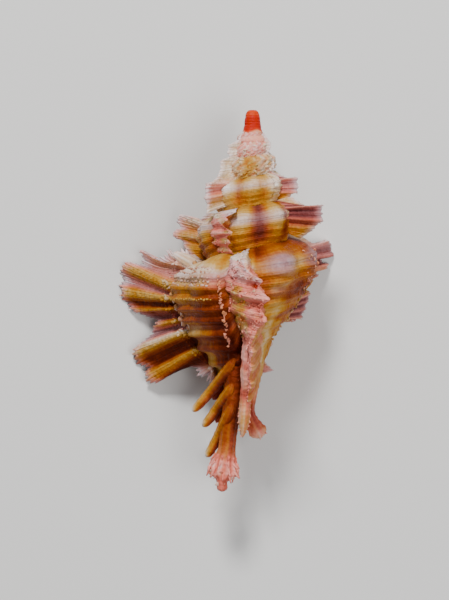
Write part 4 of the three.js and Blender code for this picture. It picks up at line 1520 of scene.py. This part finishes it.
@dataclass
class RampWing(Wing):
    """A varix that faces up: its newer face is a scaly pink ramp with listed dents and swellings."""

    patches: tuple = ()
    glow: float = 0.0
    leads: tuple = ((0, 1), (1, 1))  # share along the varix and how far the ramp reaches, as a factor
    lamella_pitch: float = 0.75

    @property
    def on_last_whorl(self) -> bool:
        """Whether the varix stands on the last whorl."""
        return self.size > 0.8

    def __post_init__(self) -> None:
        """Works out both faces, then ruffles and dents the newer one."""
        super().__post_init__()
        across = self.newer[..., 0] / RULE.mm_per_px + RULE.origin_px[0]
        down = RULE.origin_px[1] - self.newer[..., 1] / RULE.mm_per_px
        self.weights = [
            np.minimum(1.0, 1.5 * bell(across, x, wide) * bell(down, y, high))
            for x, y, wide, high, *_ in self.patches
        ]
        pitch = self.lamella_pitch * self.size
        self.lamella = (self.mm / pitch + 0.8 * ripple(self.count * 0.14, self.seed)) % 1.0
        swirl = 2.2 * np.sin(self.mm * 1.5 + self.count * 0.06)
        blobs = ripple(self.count * 0.23 + swirl, self.seed + 4)
        sink = 0.12 * (1 - self.lamella) - 0.1 * self.rib - 0.26 * blobs
        calm = 1 - 0.7 * fade(self.table["share"][:, None], 0.55, 0.67) * self.on_last_whorl
        sink = sink * calm * self.size * np.sin(np.pi * np.clip(self.up * 1.1, 0, 1))
        for weight, patch in zip(self.weights, self.patches):
            sink = sink + self.size * weight * patch[4]
        inward = self.middle - self.newer
        length = np.linalg.norm(inward, axis=-1)
        step = np.minimum(sink, 0.7 * length) / np.maximum(length, 0.1)
        self.newer = self.newer + inward * step[..., None]

    def fullness(self, side: np.ndarray) -> np.ndarray:
        """Evens out the ribs towards the ramp's foot.

        Args:
            side: Half thicknesses in degrees, for each ray and point.

        Returns:
            How far, in degrees, the newer face stands off the middle.
        """
        window = np.hanning(19)
        window /= window.sum()
        padded = [np.pad(column, 9, "edge") for column in side.T]
        even = np.stack([np.convolve(column, window, "valid") for column in padded], axis=1)
        return super().fullness(side * self.up**3 + even * (1 - self.up**3))

    def slope(self) -> np.ndarray:
        """How far, in degrees, the newer face leans on the body in front of it."""
        shares, leads = np.array(self.leads, float).T
        wave = 1 + 0.12 * ripple(self.count * 0.13, self.seed) * (1 - self.up)
        return super().slope() * wave * np.interp(self.table["share"][:, None], shares, leads)

    def colour(self) -> tuple[dict[Mark, np.ndarray], dict[Mark, np.ndarray]]:
        """Colours the ramp by its lamellae and patches, and dulls the older face.

        Returns:
            The marks of the older and of the newer face.
        """
        older, newer = super().colour()
        older[Mark.EMBER] = newer[Mark.EMBER] = np.zeros_like(self.mm)
        share = self.table["share"][:, None]
        low = fade(share, 0.5, 0.6) if self.on_last_whorl else np.ones_like(share)
        older[Mark.TONE] = older[Mark.TONE] - 0.09 * low
        older[Mark.ROSE] = older[Mark.ROSE] * (1 - 0.5 * low)
        older[Mark.VIOLET] = older[Mark.VIOLET] * (1 - 0.9 * low)
        newer[Mark.TONE] = newer[Mark.TONE] + 0.06 * (self.lamella - 0.5) + 0.03 * self.glow
        newer[Mark.ROSE] = newer[Mark.ROSE] + 0.35 * self.glow
        newer[Mark.VIOLET] = newer[Mark.VIOLET] + 0.6 * np.clip(1.6 - 3 * share, 0, 1)
        for weight, (*_, tone, rose, ember) in zip(self.weights, self.patches):
            for mark, value in ((Mark.TONE, tone), (Mark.ROSE, rose), (Mark.EMBER, ember)):
                newer[mark] = newer[mark] * (1 - weight) + value * weight
            newer[Mark.VIOLET] = newer[Mark.VIOLET] * (1 - weight * (1 - rose))
        swirl = 1.7 * np.sin(self.mm * 2.1 + self.count * 0.11)
        cloud = ripple(self.count * 0.37 + swirl, self.seed + 9)
        newer[Mark.ROSE] = newer[Mark.ROSE] + 0.3 * cloud - 0.06
        newer[Mark.TONE] = newer[Mark.TONE] - 0.05 * cloud
        return older, newer

    def scatter(self, coat: ScaleCoat, count: int, size: float) -> None:
        """Strews small scales over the newer face and its edge.

        Args:
            coat: The coat that they join.
            count: Number of scales on the face.
            size: Length of the largest in mm.
        """
        last = self.mm.shape[1] - 1
        for _ in range(count):
            ray = int(coat.draw.integers(2, len(self.mm) - 2))
            column = int(last * coat.draw.random() ** 0.6)
            own = size * (0.6 + 0.5 * self.rib[ray, 0])
            self.plant(coat, ScaleKind.HOOD, ray, column, own, True)
        for ray in range(3, len(self.mm) - 2, 5):
            if self.table["share"][ray] < 0.56 or not self.on_last_whorl:
                self.plant(coat, ScaleKind.SPINE, ray, last - 1, size, True)


@dataclass
class Tube:
    """A bent tube with an oval section, such as the canal, a spur or a finger."""

    name: str
    stations: np.ndarray
    sides: int = 28
    scaly: float = 0.0
    seed: int = 1
    # Painted shade that darkens and reddens one side of the tube.
    shade: float = 0.0  # how much darker its upper side is
    frill: float = 0.0  # how deep its flare is pleated

    def __post_init__(self) -> None:
        """Works out the tube's middle line, sizes and rings."""
        rows = np.array(self.stations, float)
        spots = np.array([RULE.spot(*row[:3]) for row in rows])
        self.length = np.linalg.norm(np.diff(spots, axis=0), axis=1).sum()
        count = max(10, int(self.length / FINE))
        fine = smooth_line(np.hstack([spots, rows[:, 3:]]), count * 4)
        run = np.concatenate([[0], np.cumsum(np.linalg.norm(np.diff(fine[:, :3], axis=0), axis=1))])
        even = np.linspace(0, run[-1], count)
        self.table = table = np.stack([np.interp(even, run, column) for column in fine.T], axis=1)
        centre, (wide, deep) = table[:, :3], np.maximum(table[:, 3:5], 0.08).T[..., None]
        self.along = unit(np.gradient(centre, axis=0))
        across = unit(np.cross([0, 0, 1.0], self.along))
        up = np.cross(self.along, across)
        a = np.linspace(0, 2 * np.pi, self.sides, endpoint=False)[None, :] - np.pi / 2
        mm = np.linspace(0, self.length, count)[:, None]
        rough = 1 + 0.5 * self.scaly * ripple(mm * 3.0 + 2 * np.cos(a), self.seed)
        rough = rough + self.scaly * ((mm / 0.6) % 1.0) ** 2 + 0.05 * np.cos(6 * a)
        flare = bell(mm, self.length - 2.5, 1.1)
        self.pleat = self.frill * flare * np.cos(10 * a + 0.5 * ripple(mm, self.seed))
        ending = fade(mm, self.length - 0.35, self.length)
        rough = (rough + self.pleat) * np.sqrt(np.clip(1 - ending**2, 0.08, 1))
        self.angle, self.mm = a, mm
        self.rings = (
            centre[:, None]
            + across[:, None] * (wide * np.cos(a) * rough)[..., None]
            + up[:, None] * (deep * np.sin(a) * rough)[..., None]
        )

    def skin(self) -> Skin:
        """Builds the tube's closed skin.

        Returns:
            The skin.
        """
        # Painted shade on the tube's side away from the light, fading in from its root.
        shade = self.shade * np.clip(np.cos(self.angle - 0.5), 0, 1) * fade(self.mm, 0.6, 2.0)
        return Skin.from_rings(self.rings, {
            Mark.TONE: self.table[:, 5:6] - 0.04 * np.cos(self.angle * 6) - 0.5 * shade + self.pleat,
            Mark.ROSE: self.table[:, 6:7] + 0.35 * shade,
            Mark.VIOLET: 0.3 * fade(self.length - self.mm, 1, 0),
            Mark.STREAK: self.angle * 0.4, Mark.GROW: self.mm * 0.5 + self.seed,
        })

    def plant(
        self, coat: ScaleCoat, kind: ScaleKind, mm: float, angle: float, size: float, lift: float
    ) -> None:
        """Plants one scale on the tube.

        Args:
            coat: The coat that the scale joins.
            kind: Its shape.
            mm: Distance along the tube.
            angle: Place round the tube in degrees, 90 being on top.
            size: Its length in mm.
            lift: How far its lip turns outwards, 0 to 1.
        """
        i = int(np.clip(mm / self.length * len(self.mm), 0, len(self.mm) - 1))
        j = int(np.argmin(np.abs(self.angle[0] - math.radians((angle + 90) % 360 - 90))))
        facing = unit(self.rings[i, j] - self.table[i, :3])
        marks = {Mark.TONE: self.table[i, 5] - 0.03, Mark.ROSE: self.table[i, 6] + 0.2}
        coat.add(kind, self.rings[i, j], facing, self.along[i] + lift * facing, size, marks)


@dataclass
class Turned:
    """A round shape about the coil's axis, from radii and places in the picture."""

    outline: tuple
    shift: float = 0.0
    apex: bool = False
    seam_px: float = 115.5
    seam_drop: float = 7.0  # pixels that the seam falls in one turn
    red_px: float = 133.5  # where the red ends

    def skin(self) -> Skin:
        """Builds the closed skin; the first whorls glow red and show their seam.

        Returns:
            The skin.
        """
        line = smooth_line(np.array(self.outline, float), 70)
        angle = np.linspace(0, FULL_TURN, 56, endpoint=False)
        down = line[:, 1:] + 0 * angle
        seam = self.seam_px + self.seam_drop * angle / FULL_TURN
        groove = bell(down, seam, 1.1) + bell(down, seam + 8.0, 1.3)
        out = np.maximum(line[:, :1] * (1 - 0.04 * groove * self.apex) * RULE.mm_per_px, 0.01)
        rings = RULE.place(angle[None, :], out, (down - RULE.apex_px) * RULE.mm_per_px)
        edge = self.red_px + 1.5 * np.sin(np.radians(3 * angle))
        red = fade(down, edge, edge - 6) * self.apex
        return Skin.from_rings(rings + np.array([self.shift, 0, 0]), {
            Mark.EMBER: red * 1.2, Mark.TONE: 0.8 - 0.36 * red + 0.24 * fade(down, 117.5, 114.5) * red,
            Mark.ROSE: 0.55, Mark.STREAK: down * 0.1, Mark.GROW: down * 0.1,
        })


@dataclass
class MurexShell:
    """The whole shell, grown as one piece."""

    mouth_centre: tuple[float, float] = (4.3, 20.6)
    mouth_half: tuple[float, float] = (1.75, 2.6)
    mouth_span: tuple[float, float] = (-14.0, 125.0)  # degrees behind the lip
    wing_foot: float = 6.0  # distance of the common wing's foot from the axis, in mm at the lip's size
    finger_lean: float = 68.0  # degrees from upright at which the fingers fall away from the axis
    coil: GrowthCoil = field(default_factory=GrowthCoil)
    coat: ScaleCoat = field(default_factory=ScaleCoat)

    def older_wing(self, index: int, size: float) -> Wing:
        """Makes the common wing at an older varix.

        Args:
            index: Number of the varix.
            size: How far it stands out, as a factor.

        Returns:
            The wing, scaled to its age.
        """
        turn = VARIX_TURNS[index]
        s = float(RULE.growth(turn))
        edge = np.array(WING_EDGE, float)
        edge[:, 0] = s * (self.wing_foot + (edge[:, 0] - self.wing_foot) * size)
        edge[:, 1] *= s
        edge[:, 3] = np.maximum(edge[:, 3] * s, 0.12)
        return Wing(
            f"wing_{index}", turn, np.array(WING_BASE) * s, edge, 8.0, root=1.4 * s, lead=8.0,
            in_photo=False, seed=index, size=s, pale_tip=0.3,
        )

    def back_wing(self) -> RampWing:
        """Makes the pink ramp of the older varix that faces up and left.

        Returns:
            The wing.
        """
        turn = VARIX_TURNS[4]
        s = float(RULE.growth(turn))
        edge = np.array(BACK_EDGE) * np.array([s, s, 1, s, 1, 1, 1])
        return RampWing(
            "back_wing", turn, np.array(WING_BASE) * s, edge, 12.0, root=0.9, lead=46.0, lag=8.0,
            fall=2.0, in_photo=False, seed=4, size=s, pale_tip=0.2, cast=(0.0, 0.1),
            patches=BACK_PATCHES, glow=1.0,
        )

    def wings(self) -> list[Wing]:
        """Makes every winged varix, newest first.

        Returns:
            The wings, then the low wings of the spire.
        """
        turns, dusky = VARIX_TURNS, (0.6, 0.95)
        made = [
            Wing(
                "last_wing", turns[0] - 2.5, LAST_BASE, LAST_EDGE, -0.5, twist=5.5, lag=9.0, fray=0.42,
                sag=0.55, seed=11, pale_tip=0.5, tip_reach=1.7, tip_rose=0.6,
            ),
            RampWing(
                "front_wing", turns[1] + 6, FRONT_BASE, FRONT_EDGE, 0.0, twist=-12.0, lead=1.0, fall=1.2,
                lag=9.0, drop=0.5, crown=0.15, pale_tip=0.15, cast=(0.0, 0.1), in_photo=False, glow=0.6,
                seed=12, patches=FRONT_PATCHES, leads=FRONT_LEADS,
            ),
            Wing("right_wing", turns[2], RIGHT_BASE, RIGHT_EDGE, cast=dusky, seed=13),
            Wing(
                "left_wing", turns[3], LEFT_BASE, LEFT_EDGE, seed=14, pale_tip=0.7, tip_reach=1.2,
                tip_rose=0.5,
            ),
            self.back_wing(),
            Wing("spire_wing", turns[5], SPIRE_BASE, SPIRE_EDGE, cast=dusky, seed=15),
            self.older_wing(6, 1.22),
            Wing("high_wing", turns[7], HIGH_BASE, HIGH_EDGE, seed=16),
            Wing("upper_wing", turns[8], UPPER_BASE, UPPER_EDGE, cast=dusky, seed=17),
            self.older_wing(9, 0.85), self.older_wing(12, 0.85), self.older_wing(15, 0.8),
        ]
        return made + [
            Wing(f"bump_{index}", turns[index], base, edge, 4.0, root=0.5, seed=20 + index)
            for index, base, edge in BUMPS
        ]

    def tubes(self) -> list[Tube]:
        """Makes the canal, both old spurs, the fingers and the canal's teeth.

        Returns:
            The canal first, then the spurs, fingers, webs and teeth.
        """
        made = [
            Tube("canal", CANAL, 60, 0.04, 31, 0.22, 0.16),
            Tube("front_spur", FRONT_SPUR, 24, 0.05, 32, 0.3),
            Tube("back_spur", BACK_SPUR, 24, 0.08, 33, 0.1),
        ]
        for k, line in enumerate(FINGERS):
            rows = []
            for n, ((across, down), half, tone) in enumerate(zip(line, FINGER_RADII, FINGER_TONES)):
                away = (RULE.axis_px - 14 - across) * RULE.mm_per_px
                sunk = 0.3 - max(away / math.tan(math.radians(self.finger_lean)), 0)
                height = FINGER_HEIGHTS[k][n] if n < 2 else sunk
                rows.append((across, down, height, half, half * 0.85, tone, 0.1))
            made.append(Tube(f"finger_{k}", rows, 20, 0.08, 40 + k, 0.7))
        made += [Tube(f"web_{k}", rows, 16, 0.0, 60 + k) for k, rows in enumerate(WEBS)]
        made.append(Tube("sail", SAIL, 20, 0.03, 70))
        for k, line in enumerate(TEETH):
            rows = [(across, down, 0.1, half, half, 0.85, 0.4) for across, down, half in line]
            made.append(Tube(f"tooth_{k}", rows, 10, 0.0, 50 + k))
        return made

    def stand(
        self, spot: tuple[np.ndarray, np.ndarray, np.ndarray], size: float, marks: dict[Mark, float],
        lift: float = 0.0, off: float = 0.0, kind: ScaleKind = ScaleKind.HOOD,
    ) -> None:
        """Plants one scale on the body.

        Args:
            spot: The place, the way out of the skin and the way of growth.
            size: Its length in mm.
            marks: Its colours.
            lift: How far its lip turns outwards, 0 to 1.
            off: How far it stands off the skin, in mm.
            kind: Its shape.
        """
        place, facing, growing = spot
        self.coat.add(kind, place + off * facing, facing, growing + lift * facing, size, marks)

    def dress_newest(self) -> None:
        """Plants the bead rows of the newest whorl and the knots before and behind it."""
        coil, draw = self.coil, self.coat.draw
        beads = smooth_line(np.array(FRONT_BEADS, float), 54)
        for across, down in beads + 0.5 * draw.standard_normal(beads.shape):
            salmon = {Mark.TONE: 0.72, Mark.ROSE: 0.5}
            self.stand(coil.spot_seen(across, down), 0.29, salmon, 0.5, 0.02)
        for turn in np.arange(396, 462, 2.6):
            self.stand(coil.spot(turn, 3.0), 0.2, {Mark.TONE: 0.7, Mark.ROSE: 0.15})
        for row in (0.5, 0.8, 1.1, 1.4, 1.75):
            for turn in np.arange(394 + 2 * row, 466, 3.4):
                lime = {Mark.TONE: 0.62 + 0.22 * draw.random(), Mark.ROSE: 0.3, Mark.VIOLET: 0.5}
                self.stand(coil.spot(turn, row), 0.27, lime, 0.3)
        for k in range(30):
            spot = coil.spot(453.0 + 4 * (k % 3), 0.3 + 0.19 * k)
            knot = {Mark.TONE: 0.7 + 0.2 * (k % 2), Mark.ROSE: 0.35, Mark.VIOLET: 0.3}
            self.stand(spot, 0.5, knot, 0.6, 0.05, ScaleKind(k % 2))
        for k in range(40):
            phase = 0.6 + 0.21 * k
            spot = coil.spot(276.0 + 20.0 * draw.random(), phase)
            rose = 0.45 if phase < 4.5 else 0.1
            self.stand(spot, 0.3, {Mark.TONE: 0.66 + 0.14 * draw.random(), Mark.ROSE: rose}, 0.6)

    def dress_spire(self) -> None:
        """Plants the grains of the young whorls."""
        draw = self.coat.draw
        for _ in range(150):
            turn = -1420 + 950 * draw.random() ** 0.75
            spot = self.coil.spot(turn, 0.2 + 4.4 * draw.random())
            # Grains in the crease of the young whorls take on its painted shade.
            tone = 0.8 - 0.2 * float(self.coil.crease(turn)) + 0.12 * draw.random()
            grain = {Mark.TONE: tone, Mark.ROSE: 0.12 + 0.16 * draw.random()}
            self.stand(spot, 0.26 + 0.38 * float(RULE.growth(turn)), grain, 0.2, -0.13)

    def dress(self, wings: list[Wing], tubes: list[Tube]) -> None:
        """Plants the scales of the wings, the canal, the spurs and the body.

        Args:
            wings: All wings.
            tubes: All tubes, of which the canal and both spurs come first.
        """
        for wing in wings:
            if isinstance(wing, RampWing):
                wing.scatter(self.coat, int(240 * wing.size**2), 0.36 * wing.size)
                continue
            newest = wing.name == "last_wing"
            wing.fringe(self.coat, 0.315 if newest else 0.27)
            if newest:
                wing.knot_root(self.coat, 0.3)
        canal, front, back = tubes[:3]
        for row, size in ((-3.6, 0.5), (-2.9, 0.6), (-2.2, 0.75), (-1.8, 0.65)):
            for angle in range(-80, 280, 36):
                canal.plant(self.coat, ScaleKind.SPINE, canal.length + row, angle + 47 * row, size, 0.3)
        for spur, first, pitch in ((front, 9.2, 0.5), (back, 8.6, 0.7)):
            for mm in np.arange(first, spur.length - 0.2, pitch):
                for angle in (15, 160):
                    aside = 0.15 * self.coat.draw.standard_normal()
                    spur.plant(self.coat, ScaleKind.HOOD, mm + angle * 0.004 + aside, angle, 0.24, 0.2)
        self.dress_newest()
        self.dress_spire()

    def mouth(self) -> Skin:
        """Makes the room behind the opening, to be cut from the last whorl.

        Returns:
            Its closed skin.
        """
        back = np.linspace(*self.mouth_span, 40)
        turn = RULE.lip_turn - back
        growth = RULE.growth(turn)[:, None]
        half = growth * np.where(back < 0, 1, 1 - back / 400)[:, None]
        a = np.linspace(0, 2 * np.pi, 40, endpoint=False)[None, :]
        out = growth * self.mouth_centre[0] + half * self.mouth_half[0] * np.cos(a)
        below = growth * self.mouth_centre[1] + half * self.mouth_half[1] * np.sin(a)
        rings = RULE.place(turn[:, None], out, below)
        return Skin.from_rings(rings, {Mark.TONE: 0.95, Mark.ROSE: 0.3})

    def floor_cutter(self) -> Skin:
        """Makes a block under the floor plane, to wear the lowest tips flat.

        Returns:
            Its closed skin.
        """
        corners = np.array([[-40, -40], [40, -40], [40, 40], [-40, 40]], float)
        rings = np.stack([np.hstack([corners, np.full((4, 1), z)]) for z in (-20.0, 0.0)])
        return Skin.from_rings(rings, {Mark.TONE: 0.8})

    def cut(self, whole: bpy.types.Object, other: bpy.types.Object, kind: str) -> None:
        """Joins or cuts one closed object with another.

        Args:
            whole: The object that is kept.
            other: The object that is used up.
            kind: The operation, UNION or DIFFERENCE.
        """
        step = whole.modifiers.new("join", "BOOLEAN")
        step.solver, step.operation, step.object = "MANIFOLD", kind, other
        plain_mesh(whole)
        bpy.data.objects.remove(other)

    def settle_marks(self, whole: bpy.types.Object) -> None:
        """Gives points that the joins made the marks of their neighbours.

        Args:
            whole: The fused shell.
        """
        mesh = whole.data
        count = len(mesh.vertices)
        edges = np.empty(len(mesh.edges) * 2, np.int32)
        mesh.edges.foreach_get("vertices", edges)
        a, b = edges.reshape(-1, 2).T
        known = (read_floats(mesh.attributes["known"].data, "value") > 0.5).astype(float)
        marks = {
            mark.value: read_floats(mesh.attributes[mark.value].data, "value").astype(float)
            for mark in Mark
        }
        for _ in range(12):
            weight = np.bincount(a, known[b], count) + np.bincount(b, known[a], count)
            fill = (known < 0.5) & (weight > 0)
            if not fill.any():
                break
            for values in marks.values():
                told = known * values
                total = np.bincount(a, told[b], count) + np.bincount(b, told[a], count)
                values[fill] = total[fill] / weight[fill]
            known[fill] = 1
        for key, values in marks.items():
            mesh.attributes[key].data.foreach_set("value", values.astype(np.float32))

    def build(self, finish: bpy.types.Material) -> list[bpy.types.Object]:
        """Builds the fused shell and its coat of scales.

        Args:
            finish: The material of the shell.

        Returns:
            The fused shell first, then the scales.
        """
        parts = self.coil.build(finish)
        wings, tubes = self.wings(), self.tubes()
        parts.append(Turned(PROTOCONCH, 0.1, True).skin().as_object("protoconch"))
        parts.append(Turned(CORE).skin().as_object("core"))
        parts += [piece.skin().as_object(piece.name) for piece in (*wings, *tubes)]
        faces = sum(len(part.data.polygons) for part in parts)
        log.info("%d skins, %d faces before joining", len(parts), faces)
        whole = parts[0]
        for other in parts[1:]:
            self.cut(whole, other, "UNION")
        self.cut(whole, self.mouth().as_object("mouth"), "DIFFERENCE")
        self.cut(whole, self.floor_cutter().as_object("floor_cutter"), "DIFFERENCE")
        self.settle_marks(whole)
        whole.name = "murex_shell"
        whole.data.materials.clear()
        whole.data.materials.append(finish)
        whole.data.shade_smooth()
        self.dress(wings, tubes)
        coat = self.coat.build(finish)
        for piece in (whole, coat):
            keep_inside(piece)
        return [whole, coat]


@dataclass
class Studio:
    """Plain pale floor, soft lights and the camera straight above."""

    floor_colour: tuple[float, float, float, float] = (0.72, 0.71, 0.69, 1.0)
    floor_reach: float = 1.5
    lens: float = 400.0
    sensor: float = 36.0
    frame_px: tuple[int, int] = (449, 600)

    def floor(self) -> bpy.types.Object:
        """Lays a wide pale floor under the shell.

        Returns:
            The floor.
        """
        mesh = bpy.data.meshes.new("floor")
        r = self.floor_reach
        mesh.from_pydata([(-r, -r, 0), (r, -r, 0), (r, r, 0), (-r, r, 0)], [], [(0, 1, 2, 3)])
        paint = bpy.data.materials.new("floor_paint")
        paint.use_nodes = True
        shader = paint.node_tree.nodes["Principled BSDF"]
        shader.inputs["Base Color"].default_value = self.floor_colour
        shader.inputs["Roughness"].default_value = 0.9
        mesh.materials.append(paint)
        return put("floor", mesh)

    def light(self, name: str, place: tuple[float, float, float], size: float, power: float) -> None:
        """Adds one soft square light aimed at the shell.

        Args:
            name: Its name.
            place: Where it hangs, in metres.
            size: Its side in metres.
            power: Its power in watts.
        """
        lamp = bpy.data.lights.new(name, "AREA")
        lamp.shape, lamp.size, lamp.energy = "SQUARE", size, power
        made = put(name, lamp)
        made.location = place
        aim = Vector((0, 0, 0.006)) - Vector(place)
        made.rotation_euler = aim.to_track_quat("-Z", "Y").to_euler()

    def camera(self) -> None:
        """Sets the camera over the middle of the picture, looking straight down."""
        data = bpy.data.cameras.new("camera")
        data.lens, data.sensor_width = self.lens, self.sensor
        field_mm = self.frame_px[1] * RULE.mm_per_px
        away = field_mm * self.lens / self.sensor
        made = put("camera", data)
        x = (self.frame_px[0] / 2 - RULE.origin_px[0]) * RULE.mm_per_px
        y = (RULE.origin_px[1] - self.frame_px[1] / 2) * RULE.mm_per_px
        made.location = (x * MM, y * MM, (RULE.axis_height + away) * MM)
        data.clip_start, data.clip_end = 0.01, 10.0
        bpy.context.scene.camera = made

    def build(self) -> None:
        """Lays the floor and hangs the lights and the camera."""
        self.floor()
        self.light("key", (-0.06, 0.26, 0.26), 0.08, 1.6)
        self.light("fill", (0.14, -0.06, 0.3), 0.2, 0.75)
        world = bpy.data.worlds.new("studio")
        world.use_nodes = True
        world.node_tree.nodes["Background"].inputs[0].default_value = (0.9, 0.93, 1.0, 1.0)
        world.node_tree.nodes["Background"].inputs[1].default_value = 0.22
        bpy.context.scene.world = world
        self.camera()


def main() -> None:
    """Builds the shell and its studio and notes their sizes."""
    logging.basicConfig(level=logging.INFO, format="%(name)s: %(message)s")
    finish = ShellFinish().material()
    shell, scales = MurexShell().build(finish)
    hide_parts("shell")
    for piece in (shell, scales):
        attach(piece, "root")
        log.info("%s: %d points, %d faces", piece.name, len(piece.data.vertices), len(piece.data.polygons))
    Studio().build()


if __name__ == "__main__":
    main()
